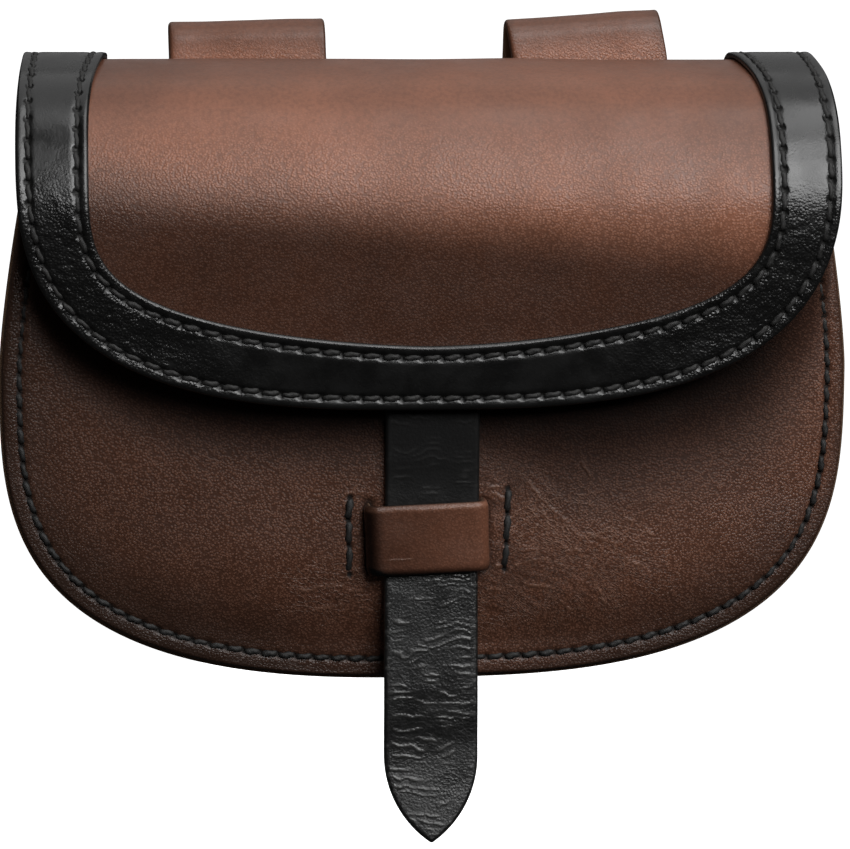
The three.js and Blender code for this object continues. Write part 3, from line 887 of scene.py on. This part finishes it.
PANEL_CREASES = [
    [(24, -94.5), (28.2, -100.3), (32, -104), (34.5, -106.5), (38, -110.5)],
    [(27.7, -101.5), (29.2, -105.8), (33.2, -111.5), (36.5, -114)],
    [(36.5, -112), (40.7, -119), (44, -125.3), (45.7, -129)],
    [(40.2, -109), (46.5, -112), (50.7, -116.5), (56.5, -119)],
    [(49, -105.8), (53.2, -107), (56.5, -109.5)],
    [(17, -117), (22, -116.5), (27, -115.8), (30.2, -115.3)],
    [(20.2, -121.5), (24.5, -122), (30.2, -122.8)],
    [(12.7, -124), (16.5, -123), (20.7, -122.8)],
    [(31.5, -125.3), (35.2, -127.8), (38.2, -130.3)],
    [(38.2, -89), (40.2, -95)],
    [(12.8, -96.8), (16, -97.6), (18.5, -96.8)],
    [(14, -99.6), (17, -99), (19.2, -99.9)],
    [(-21.5, -98.4), (-18, -98), (-15, -98.9)],
    [(-32.2, -122.8), (-24.7, -121.5), (-16, -123.3)],
    [(-29, -127.5), (-21, -126.4), (-14, -128)],
]
CREASE_WIDTH = 0.34
CREASE_RISE = 0.12
CREASED_CENTRE = (14, -114)
CREASED_REACH = (52, 27)
CREASED_LATTICE = 0.5
PANEL_LATTICE = 1.5
PANEL_RINGS = [1.5, 2.1, 2.7, 3.3, 3.8, 4.3, 4.8, 5.3, 6.0, 6.8]
PANEL_GRAIN = 1.25
PANEL_TONE = 0.45
# Painted shading of the front panel: the darkest share of the painted shadow below the lip, painted
# shade at the lower rim, painted light at the right edge.
LIP_SHADOW_FLOOR = 0.08
LOW_RIM_SHADE = 0.38
RIGHT_EDGE_LIGHT = 0.12


def drawn_creases(x, z):
    """0 to 1 along the front panel's longer creases, which waver and break."""
    x = x + 0.5 * value_noise(x / 2, z / 2, 15)
    z = z + 0.5 * value_noise(x / 2, z / 2, 16)
    points = np.stack([x, z], 1)
    marks = np.concatenate([spaced(np.array(line, float), 0.25) for line in PANEL_CREASES])
    lines = bell(nearest(points, marks), CREASE_WIDTH)
    return lines * smoothstep(-0.6, 0.4, value_noise(x / 1.3, z / 1.3, 17))


def panel_relief(flat, holes, drawn):
    """Hand-worn relief of the front panel: sags, creases by the keeper, puckers and holes."""
    x, z = flat[:, 0], flat[:, 1]
    worn, flow = panel_creases(x, z)
    wave = 0.4 * value_noise(x / 30, z / 24, 11) + 0.12 * value_noise(x / 9, z / 9, 12)
    creases = worn * (0.13 * ridges(flow[:, 0] / 6, flow[:, 1] / 2.4, 0.16, 13)
                      + 0.07 * value_noise(flow[:, 0] / 2, flow[:, 1] / 1.3, 14))
    slits = np.zeros(len(flat))
    for side in (-1, 1):
        off = x - (KEEPER_X + side * LEG_X)
        slits += bell(off, 1.4) * smoothstep(10.5, 8, np.abs(z - KEEPER_Z))
    dent = dents(flat, holes)
    creases = creases + CREASE_RISE * drawn
    return wave + creases - slits - HOLE_DEPTH * dent, dent, worn, slits, flow


def below_lip(x, z):
    """How far a point of the front panel lies below the flap's lip."""
    rise = np.clip(1 - np.abs(x / FLAP["wide"]) ** FLAP["across"], 0, 1) ** (1 / FLAP["down"])
    return FLAP["widest"] - FLAP["drop"] * rise - z


def by_keeper(points):
    """The creased part of the front panel, round the keeper."""
    return np.sum(((points - CREASED_CENTRE) / CREASED_REACH) ** 2, axis=1) < 1


def make_front_panel():
    top = np.linspace(panel_edge[-1], panel_edge[0], 60)[1:-1]
    outline = np.concatenate([panel_edge, top])
    pattern = cut_pattern(outline, PANEL_RINGS, PANEL_LATTICE, (by_keeper, CREASED_LATTICE))
    flat, _, _, inset = pattern
    x, z = flat[:, 0], flat[:, 1]
    keeper_holes = [np.array(line) for line in KEEPER_STITCHES]
    holes = np.concatenate([spaced(panel_seam, SEAM_PITCH), *keeper_holes])
    drawn = drawn_creases(x, z)
    relief, dent, worn, slits, flow = panel_relief(flat, holes, drawn)
    groove = bell(inset - SEAM_STITCH_INSET, GROOVE_WIDTH)
    # Painted shading of the front panel: lighter towards the right, darker towards the bottom, a
    # painted shadow below the flap's lip that reaches further on the right, painted shade along the
    # lower rim and painted light at the upper right edge.
    under_lip = below_lip(x, z)
    shade_end = LIP_SHADE + LIP_SHADE_RIGHT * smoothstep(5, 40, x)
    tone_and_painted_shading = PANEL_TONE + 0.11 * smoothstep(-40, 80, x) - 0.04 * smoothstep(-118, -140, z)
    tone_and_painted_shading = tone_and_painted_shading * (LIP_SHADOW_FLOOR + (1 - LIP_SHADOW_FLOOR) * smoothstep(LIP_DARK, shade_end, under_lip))
    low_rim = smoothstep(22, 8, inset) * smoothstep(-88, -115, z) * smoothstep(10, 60, np.abs(x))
    tone_and_painted_shading = tone_and_painted_shading * (1 - LOW_RIM_SHADE * low_rim)
    tone_and_painted_shading = tone_and_painted_shading + RIGHT_EDGE_LIGHT * smoothstep(80, 98, x) * smoothstep(-105, -90, z)
    # The burnished rim is widened on the left and at the bottom as painted shade.
    burnish_and_shade_reach = 2 + 12 * smoothstep(20, -90, x)
    burnish_and_shade_reach = burnish_and_shade_reach + 5 * smoothstep(-100, -140, z) * smoothstep(30, 60, np.abs(x))
    marks = {"grain": np.full(len(flat), PANEL_GRAIN), "tone_and_painted_shading": tone_and_painted_shading,
             "hole_shade": np.clip(dent + 0.9 * slits, 0, 1), "burnish_and_shade": np.exp(-inset / burnish_and_shade_reach),
             # Under the painted shadow the specular is turned down too.
             "dull_and_painted_shade": smoothstep(shade_end, LIP_DARK, under_lip),
             "worn": worn, "flow": flow, "line": drawn}
    make_sheet("front_panel_leather", pattern, PANEL, on_panel, BROWN,
               "front_panel", relief - GROOVE_DEPTH * groove, marks)


# Gusset

GUSSET_SEAT = 0.05
GUSSET_PITCH = 1.4
GUSSET_STEP = 1.2
GUSSET_BEND_STEPS = 7
GUSSET_WALL_STEPS = 24
GUSSET_WAVE = 0.5
GUSSET_GRAIN = 0.5
GUSSET_TONE = 0.35
GUSSET_BURNISH = 2.5


def make_gusset():
    run = spaced(body_run(), GUSSET_PITCH)
    inward = left_normals(run)
    rear_y = -(PASSAGE_DEPTH / 2 + LOOP + GAP + PANEL + GAP + GUSSET / 2)
    wall = FLANGE + GUSSET / 2
    arc = np.linspace(0, math.pi / 2, GUSSET_BEND_STEPS)
    flat_in = spread(2 * (wall - GUSSET_BEND), GUSSET_STEP)
    flat_in = flat_in[flat_in <= wall - GUSSET_BEND]
    bend_in = wall - GUSSET_BEND + GUSSET_BEND * np.sin(arc)
    bend_back = GUSSET_BEND * (1 - np.cos(arc))
    wall_part = np.linspace(0, 1, GUSSET_WALL_STEPS + 2)[1:-1]
    wall_in = np.full(GUSSET_WALL_STEPS, wall)
    wall_back = np.full(GUSSET_WALL_STEPS, GUSSET_BEND)
    level = np.zeros(len(flat_in))
    bent = len(flat_in) + len(arc)
    depth_in = np.concatenate([flat_in, bend_in, wall_in, bend_in[::-1], flat_in[::-1]])
    offset = np.concatenate([level, bend_back, wall_back, bend_back[::-1], level])
    part = np.concatenate([np.zeros(bent), wall_part, np.ones(bent)])
    place = run[:, None, :] + inward[:, None, :] * depth_in[None, :, None]
    front = seam_y(place[..., 1]) + PANEL + GUSSET / 2 + GUSSET_SEAT
    wave = GUSSET_WAVE * value_noise(place[..., 0] / 14, place[..., 1] / 14, 21)
    y = (1 - part) * (front + offset) + part * (rear_y - offset) + wave * np.sin(math.pi * part)
    middle = np.stack([place[..., 0], y, place[..., 1]], -1)
    rows, columns = y.shape
    normal = unit(np.cross(np.gradient(middle, axis=1), np.gradient(middle, axis=0)))
    inset = np.tile(depth_in, (rows, 1))
    inset[[0, -1]] = 0
    rim = np.zeros((rows, columns), bool)
    rim[:, [0, -1]] = True
    rim[[0, -1]] = True

    def at(_, height):
        return (middle + normal * height.reshape(rows, columns, 1)).reshape(-1, 3)

    flat = middle.reshape(-1, 3)[:, :2]
    pattern = (flat, grid_faces(rows, columns), rim.ravel(), inset.ravel())
    marks = {"grain": np.full(len(flat), GUSSET_GRAIN), "tone_and_painted_shading": np.full(len(flat), GUSSET_TONE)}
    make_sheet("gusset_leather", pattern, GUSSET, at, BROWN, "gusset",
               0.0, marks, GUSSET_BURNISH)


# Closing strap

def catmull(knots, per_span=60):
    """A curve through the knots."""
    knots = np.array(knots, float)
    t = np.linspace(0, 1, per_span, endpoint=False)[:, None]
    spans = []
    for i in range(len(knots) - 1):
        before = knots[max(i - 1, 0)]
        here = knots[i]
        after = knots[i + 1]
        beyond = knots[min(i + 2, len(knots) - 1)]
        out = (after - before) / 2
        into = (beyond - here) / 2
        spans.append((2 * here - 2 * after + out + into) * t ** 3
                     + (-3 * here + 3 * after - 2 * out - into) * t ** 2 + out * t + here)
    return np.concatenate([*spans, knots[-1:]])


def strap_path():
    """The strap's middle as (y, z) points, from under the flap to its tip."""
    def under(z):
        s = front_s(z)
        return np.interp(s, WALK_S, WALK_Y) + PANEL / 2 + GAP + STRAP / 2, z

    def resting(z):
        return float(front_y(STRAP_X, z)) - STRAP_CLEARANCE - STRAP / 2, z

    return catmull([
        under(STRAP_TOP_Z), under((STRAP_TOP_Z + LIP_Z) / 2), under(LIP_Z),
        resting(STRAP_LANDING_Z), resting(KEEPER_Z), resting(STRAP_LEAVING_Z),
        (STRAP_HANG_Y, STRAP_HANG_Z), (STRAP_HANG_Y + STRAP_CURL_BACK, STRAP_CURL_Z),
        (STRAP_HANG_Y - STRAP_CURL, STRAP_TIP_Z),
    ])


STRAP_RINGS = [1.4, 1.9]
STRAP_LATTICE = 0.4
STRAP_LINE_SPACING = 2.0
STRAP_LINE_WIDTH = 0.11
STRAP_DULL = 0.22
STRAP_BURNISH = 0.8


def make_strap():
    path = strap_path()
    run = arc_length(path)
    normals = -left_normals(path)
    half = STRAP_WIDTH / 2
    radius = (STRAP_TIP_LENGTH ** 2 + half ** 2) / (2 * half)
    sweep = np.linspace(0, math.asin(STRAP_TIP_LENGTH / radius), 40)
    tip_x = half - radius * (1 - np.cos(sweep))
    tip_s = run[-1] - STRAP_TIP_LENGTH + radius * np.sin(sweep)
    sides = np.stack([np.append(half, tip_x), np.append(0.0, tip_s)], 1)
    outline = np.concatenate([sides, sides[-2::-1] * [-1, 1]])
    pattern = cut_pattern(outline, STRAP_RINGS, STRAP_LATTICE)
    flat, _, _, inset = pattern

    def on_strap(points, height):
        y, z = off_path(points[:, 1], height, run, path, normals)
        x, z = turned(points[:, 0], z - LIP_Z, STRAP_TURN)
        return np.stack([STRAP_X + x, y, LIP_Z + z], 1)

    x, s = flat[:, 0], flat[:, 1]
    lines = wandering_lines(x, s, STRAP_LINE_SPACING, STRAP_LINE_WIDTH, 31)
    wrinkles = 0.1 * lines + 0.07 * value_noise(x / 12, s / 3.4, 34)
    hanging = smoothstep(30, 60, s)
    # Painted shadow below the flap's lip: the strap's specular is turned down there.
    shaded = smoothstep(40, 8, LIP_Z - np.interp(s, run, path[:, 1]))
    relief = (0.6 + 0.4 * hanging) * wrinkles * smoothstep(0.4, 2.5, inset)
    marks = {"grain": 0.15 + 0.25 * hanging, "dull_and_painted_shade": np.maximum(STRAP_DULL * hanging, shaded),
             "worn": 0.12 * hanging, "flow": np.stack([x / 3, s / 1.6, 0 * x], 1),
             "line": (0.1 + 0.5 * hanging) * lines}
    make_sheet("closing_strap_leather", pattern, STRAP, on_strap, BLACK,
               "closing_strap", relief, marks, STRAP_BURNISH)


# Keeper

KEEPER_STEPS = (0.4, 0.35)
KEEPER_GRAIN = 0.5
KEEPER_TONE = 0.49
KEEPER_BURNISH = 0.25
SCRATCH_WIDTH = 0.22


def make_keeper():
    bar_y = -(2 * STRAP_CLEARANCE + STRAP + KEEPER / 2)
    foot_y = PANEL + FOOT_CLEARANCE + KEEPER / 2
    angle = np.linspace(0, math.pi / 2, 14)
    over = np.stack([LEG_X - KEEPER_BEND * (1 - np.sin(angle)),
                     bar_y + KEEPER_BEND * (1 - np.cos(angle))], 1)
    under = np.stack([LEG_X + KEEPER_FOOT_BEND * (1 - np.cos(angle)),
                      foot_y - KEEPER_FOOT_BEND * (1 - np.sin(angle))], 1)
    right = np.concatenate([[(0, bar_y)], over, under, [(LEG_X + KEEPER_FOOT, foot_y)]])
    path = spaced(np.concatenate([right[:0:-1] * [-1, 1], right]), 0.25)
    run = arc_length(path)
    normals = -left_normals(path)
    matrix = keeper_matrix()
    pattern = strip_pattern(run[-1], KEEPER_HEIGHT, *KEEPER_STEPS, KEEPER_ROUNDING)
    flat = pattern[0]

    def on_keeper(points, height):
        x, y = off_path(points[:, 0], height, run, path, normals)
        return moved(matrix, np.stack([x, y, points[:, 1]], 1))

    u, v = flat[:, 0], flat[:, 1]
    relief = 0.12 * value_noise(u / 8, v / 6, 41)
    across = np.interp(u, run, path[:, 0]) / LEG_X
    top = smoothstep(-KEEPER_ROUNDING, -0.6 * KEEPER_ROUNDING, v - KEEPER_HEIGHT / 2)
    foot = smoothstep(-1.4 * KEEPER_ROUNDING, 0, -KEEPER_HEIGHT / 2 - v)
    # Painted shading of the keeper: lighter towards its right, painted shade at its left end and
    # along its lower bevel, painted light along its top bevel.
    tone_and_painted_shading = KEEPER_TONE + 0.18 * across - 0.28 * smoothstep(-0.72, -0.95, across)
    tone_and_painted_shading = tone_and_painted_shading + 0.12 * top - 0.4 * foot
    scratch = bell(v - SCRATCH_V, SCRATCH_WIDTH)
    scratch = scratch * smoothstep(-0.76, -0.66, across) * smoothstep(-0.22, -0.34, across)
    # The line mark holds a real scratch and a painted highlight along the top bevel.
    marks = {"grain": np.full(len(flat), KEEPER_GRAIN), "tone_and_painted_shading": tone_and_painted_shading,
             "line": np.clip(0.7 * scratch + 0.35 * top, 0, 1)}
    make_sheet("keeper_leather", pattern, KEEPER, on_keeper, BROWN, "keeper",
               relief, marks, KEEPER_BURNISH, KEEPER_ROUNDING)


# Belt loops

LAYER_Y = (PASSAGE_DEPTH + LOOP) / 2
FOLD_Z = PASSAGE_HALF_HEIGHT - PASSAGE_DEPTH / 2
PINCH_Y = -LAYER_Y + LOOP + GAP
PINCH_TOP_Z = -PASSAGE_HALF_HEIGHT + LOOP
PINCH_FOOT_Z = PINCH_TOP_Z - LOOP_PINCH
TAB_FOOT_Z = PINCH_FOOT_Z - LOOP_TAB


def loop_path():
    """The loop's middle as (y, z) points: up behind the back panel, over, down, and into the tab."""
    angle = np.linspace(math.pi, 0, 40)
    fold = np.stack([LAYER_Y * np.cos(angle), FOLD_Z + LAYER_Y * np.sin(angle)], 1)
    t = np.linspace(0, 1, 30)[:, None]
    knots = np.array([(LAYER_Y, PINCH_TOP_Z), (LAYER_Y, PINCH_TOP_Z - LOOP_PINCH / 2),
                      (PINCH_Y, PINCH_FOOT_Z + LOOP_PINCH / 2), (PINCH_Y, PINCH_FOOT_Z)])
    pinch = ((1 - t) ** 3 * knots[0] + 3 * (1 - t) ** 2 * t * knots[1]
             + 3 * (1 - t) * t ** 2 * knots[2] + t ** 3 * knots[3])
    front_foot = [(-LAYER_Y, TAB_FOOT_Z)]
    tab_foot = [(PINCH_Y, TAB_FOOT_Z)]
    return spaced(np.concatenate([front_foot, fold, pinch, tab_foot]), 0.3)


LOOP_PATH = loop_path()
LOOP_RUN = arc_length(LOOP_PATH)
LOOP_NORMALS = left_normals(LOOP_PATH)


def loop_place(row):
    """The placing function of one loop, its front layer slipped past its rear layer."""

    def on_loop(points, height):
        y, z = off_path(points[:, 0], height, LOOP_RUN, LOOP_PATH, LOOP_NORMALS)
        below = smoothstep(0, LOOP_SLIP_REACH, FOLD_Z + LAYER_Y - z)
        x = points[:, 1] + row["slip"] * np.clip(-y / LAYER_Y, -1, 1) * below
        x, z = turned(x, z, row["turn"])
        return np.stack([row["x"] + x, y, row["lift"] + z], 1)

    return on_loop


TAB_ROWS = [5.0, 11.0]
TAB_SIDE = 4.0


def tab_holes():
    """Stitch holes of a loop's tab, as flat points on the loop: two rows across it."""
    count = round((LOOP_WIDTH - 2 * TAB_SIDE) / LOOP_PITCH) + 1
    across = np.linspace(-LOOP_WIDTH / 2 + TAB_SIDE, LOOP_WIDTH / 2 - TAB_SIDE, count)
    return [np.stack([np.full(count, LOOP_RUN[-1] - up), across], 1) for up in TAB_ROWS]


LOOP_STEP = 0.9
LOOP_WAVE = 0.18
# Painted light on the loops, which are made lighter than the other leather, and painted shade near
# their fold.
LOOP_PAINTED_LIGHT = 1.28
LOOP_FOLD_SHADE = 0.72
LOOP_BURNISH = 1.0
LOOP_SEED = 50


def make_loop(row, seed):
    pattern = strip_pattern(LOOP_RUN[-1], LOOP_WIDTH, LOOP_STEP, LOOP_STEP)
    flat = pattern[0]
    dent = dents(flat, np.concatenate(tab_holes()))
    wave = LOOP_WAVE * value_noise(flat[:, 0] / 12, flat[:, 1] / 10, seed)
    from_fold = np.abs(flat[:, 0] - LOOP_RUN[np.argmax(LOOP_PATH[:, 1])])
    # Painted light over the loop, with painted shade near its fold.
    marks = {"grain": 0.2 + 0.8 * smoothstep(6, 17, from_fold), "hole_shade": dent,
             "tone_and_painted_shading": LOOP_PAINTED_LIGHT - LOOP_FOLD_SHADE * smoothstep(13, 3, from_fold)}
    make_sheet(row["node"] + "_leather", pattern, LOOP, loop_place(row), BROWN,
               row["node"], wave - HOLE_DEPTH * dent, marks, LOOP_BURNISH)


# Stitch lines, as flat runs

def inset_run(run, distance):
    """A line at a distance to the left of a run, a little short of both its ends."""
    line = run + left_normals(run) * distance
    total = arc_length(line)[-1]
    return along(line, np.linspace(STITCH_END, total - STITCH_END, STITCH_LINE_POINTS))


band_outer = flap_run(FLAP, BACK_LENGTH)
band_inner = flap_run(BARE, BACK_LENGTH)
band_lines = [inset_run(band_outer, -BAND_STITCH_INSET), inset_run(band_inner, BAND_STITCH_INSET)]
band_holes = [spaced(line, BAND_PITCH) for line in band_lines]
panel_edge = body_run() + left_normals(body_run()) * PANEL_INSET
panel_seam = inset_run(panel_edge, SEAM_STITCH_INSET)
back_edge = back_run()
back_edge = back_edge[flap_z(back_edge[:, 1]) < FRONT_TOP_Z]
back_seam = inset_run(back_edge, SEAM_STITCH_INSET)


# All the pieces

make_back_flap(flap_run(FLAP, CREST_S))
make_trim(band_outer, band_inner, np.concatenate(band_holes))
make_front_panel()
make_gusset()
make_strap()
make_keeper()
for number, row in enumerate(LOOPS):
    make_loop(row, LOOP_SEED + number)

band_top = (TRIM + GAP) / 2 - BAND_THREAD_SINK
front_top = PANEL / 2 - FRONT_THREAD_SINK
back_top = PANEL / 2 - BACK_THREAD_SINK
keeper_top = PANEL / 2 + KEEPER_THREAD_RISE
make_stitches("band_stitches", [
    run for holes in band_holes for run in thread_runs(holes, on_trim, band_top)
], 61)
make_stitches("front_seam_stitches",
              thread_runs(spaced(panel_seam, SEAM_PITCH), on_panel, front_top), 62)
make_stitches("keeper_stitches", [
    run for line in KEEPER_STITCHES
    for run in thread_runs(np.array(line), on_panel, keeper_top, KEEPER_THREAD_SLANT)
], 63, KEEPER_THREAD_THICKNESS)
make_stitches("back_seam_stitches",
              thread_runs(spaced(back_seam, SEAM_PITCH), on_flap, back_top), 64)
make_stitches("loop_stitches", [
    run for row in LOOPS for line in tab_holes()
    for run in thread_runs(line, loop_place(row), LOOP / 2)
], 65)


# Stage and lights, in metres, and the camera, in millimetres

IMAGE_WIDTH = 850
FOCAL_PX = 3600
SENSOR = 36
CAMERA_AIM = np.array([-1.0, -34.0, -81.4])
CAMERA_DISTANCE = 900
CAMERA_YAW = math.radians(-5)
CAMERA_ROLL = math.radians(0.5)
FLOOR_Z = -0.25
LIGHT_AIM = (0.0, -0.03, -0.05)
LIGHT_DISTANCE = 1.5
STAGE_WHITE = (0.95, 0.95, 0.95, 1)
STAGE_SIDES = 48
STAGE_STEPS = 10
STAGE_FLAT = [0.4, 1.2]
STAGE_CURVE_FROM = 2.0
STAGE_RADIUS = 3.0
STAGE_HEIGHT = 6.0
WORLD_STRENGTH = 0.02


def make_stage():
    """A pale floor that sweeps up into a wall all round, bright enough to photograph as white."""
    profile = [(radius, 0.0) for radius in STAGE_FLAT]
    for step in range(STAGE_STEPS + 1):
        angle = math.radians(90 * step / STAGE_STEPS)
        profile.append((STAGE_CURVE_FROM + math.sin(angle), 1 - math.cos(angle)))
    profile.append((STAGE_RADIUS, STAGE_HEIGHT))
    turns = np.linspace(0, 2 * math.pi, STAGE_SIDES, endpoint=False)
    points = [(0.0, 0.0, FLOOR_Z)]
    points += [(r * math.cos(a), r * math.sin(a), FLOOR_Z + z) for r, z in profile for a in turns]
    faces = [(0, 1 + i, 1 + (i + 1) % STAGE_SIDES) for i in range(STAGE_SIDES)]
    for ring in range(len(profile) - 1):
        low = 1 + ring * STAGE_SIDES
        high = low + STAGE_SIDES
        for i in range(STAGE_SIDES):
            after = (i + 1) % STAGE_SIDES
            faces.append((low + i, high + i, high + after, low + after))
    mesh = bpy.data.meshes.new("floor")
    mesh.from_pydata(points, [], faces)
    mesh.shade_smooth()
    shader = Shader("floor")
    shader.set(Base_Color=STAGE_WHITE, Roughness=0.9,
               Emission_Color=(1, 1, 1, 1), Emission_Strength=1.0)
    mesh.materials.append(shader.material)
    floor = bpy.data.objects.new("floor", mesh)
    bpy.context.scene.collection.objects.link(floor)
    floor.visible_diffuse = False
    floor.visible_glossy = False
    floor.visible_shadow = False


def make_light(name, azimuth, elevation, size, watts):
    """A soft box that faces the bag; its azimuth turns from the front to the right."""
    turn = math.radians(azimuth)
    rise = math.radians(elevation)
    level = math.cos(rise)
    way = Vector((level * math.sin(turn), -level * math.cos(turn), math.sin(rise)))
    data = bpy.data.lights.new(name, "AREA")
    data.shape = "RECTANGLE"
    data.size, data.size_y = size
    data.energy = watts
    light = bpy.data.objects.new(name, data)
    light.location = Vector(LIGHT_AIM) + LIGHT_DISTANCE * way
    light.rotation_mode = "QUATERNION"
    light.rotation_quaternion = (-way).to_track_quat("-Z", "Y")
    bpy.context.scene.collection.objects.link(light)
    return light


def make_camera():
    forward = np.array([-math.sin(CAMERA_YAW), math.cos(CAMERA_YAW), 0])
    level = np.array([math.cos(CAMERA_YAW), math.sin(CAMERA_YAW), 0])
    upright = np.array([0, 0, 1])
    right = math.cos(CAMERA_ROLL) * level - math.sin(CAMERA_ROLL) * upright
    up = math.sin(CAMERA_ROLL) * level + math.cos(CAMERA_ROLL) * upright
    place = (CAMERA_AIM - CAMERA_DISTANCE * forward) * MM
    data = bpy.data.cameras.new("camera")
    data.sensor_width = SENSOR
    data.lens = SENSOR * FOCAL_PX / IMAGE_WIDTH
    camera = bpy.data.objects.new("camera", data)
    turn = Matrix(np.stack([right, up, -forward], 1).tolist()).to_4x4()
    camera.matrix_world = Matrix.Translation(place.tolist()) @ turn
    bpy.context.scene.collection.objects.link(camera)
    bpy.context.scene.camera = camera


make_stage()
make_camera()
make_light("key", 21, 23, (1.0, 0.7), 15.5)
make_light("high", 28, 56, (1.0, 0.75), 7.5)
make_light("side", 62, 24, (0.5, 0.5), 2.5)
make_light("overhead", 0, 96, (1.6, 1.6), 6.5)
make_light("rear", 170, 38, (1.6, 0.8), 1.3)
make_light("back", 198, 16, (1.6, 1.2), 9).visible_glossy = False
make_light("left", -80, 15, (1.2, 1.0), 3).visible_glossy = False

world = bpy.data.worlds.new("studio")
world.use_nodes = True
background = world.node_tree.nodes["Background"]
background.inputs["Color"].default_value = (1, 1, 1, 1)
background.inputs["Strength"].default_value = WORLD_STRENGTH
bpy.context.scene.world = world
bpy.context.scene.view_settings.view_transform = "Standard"
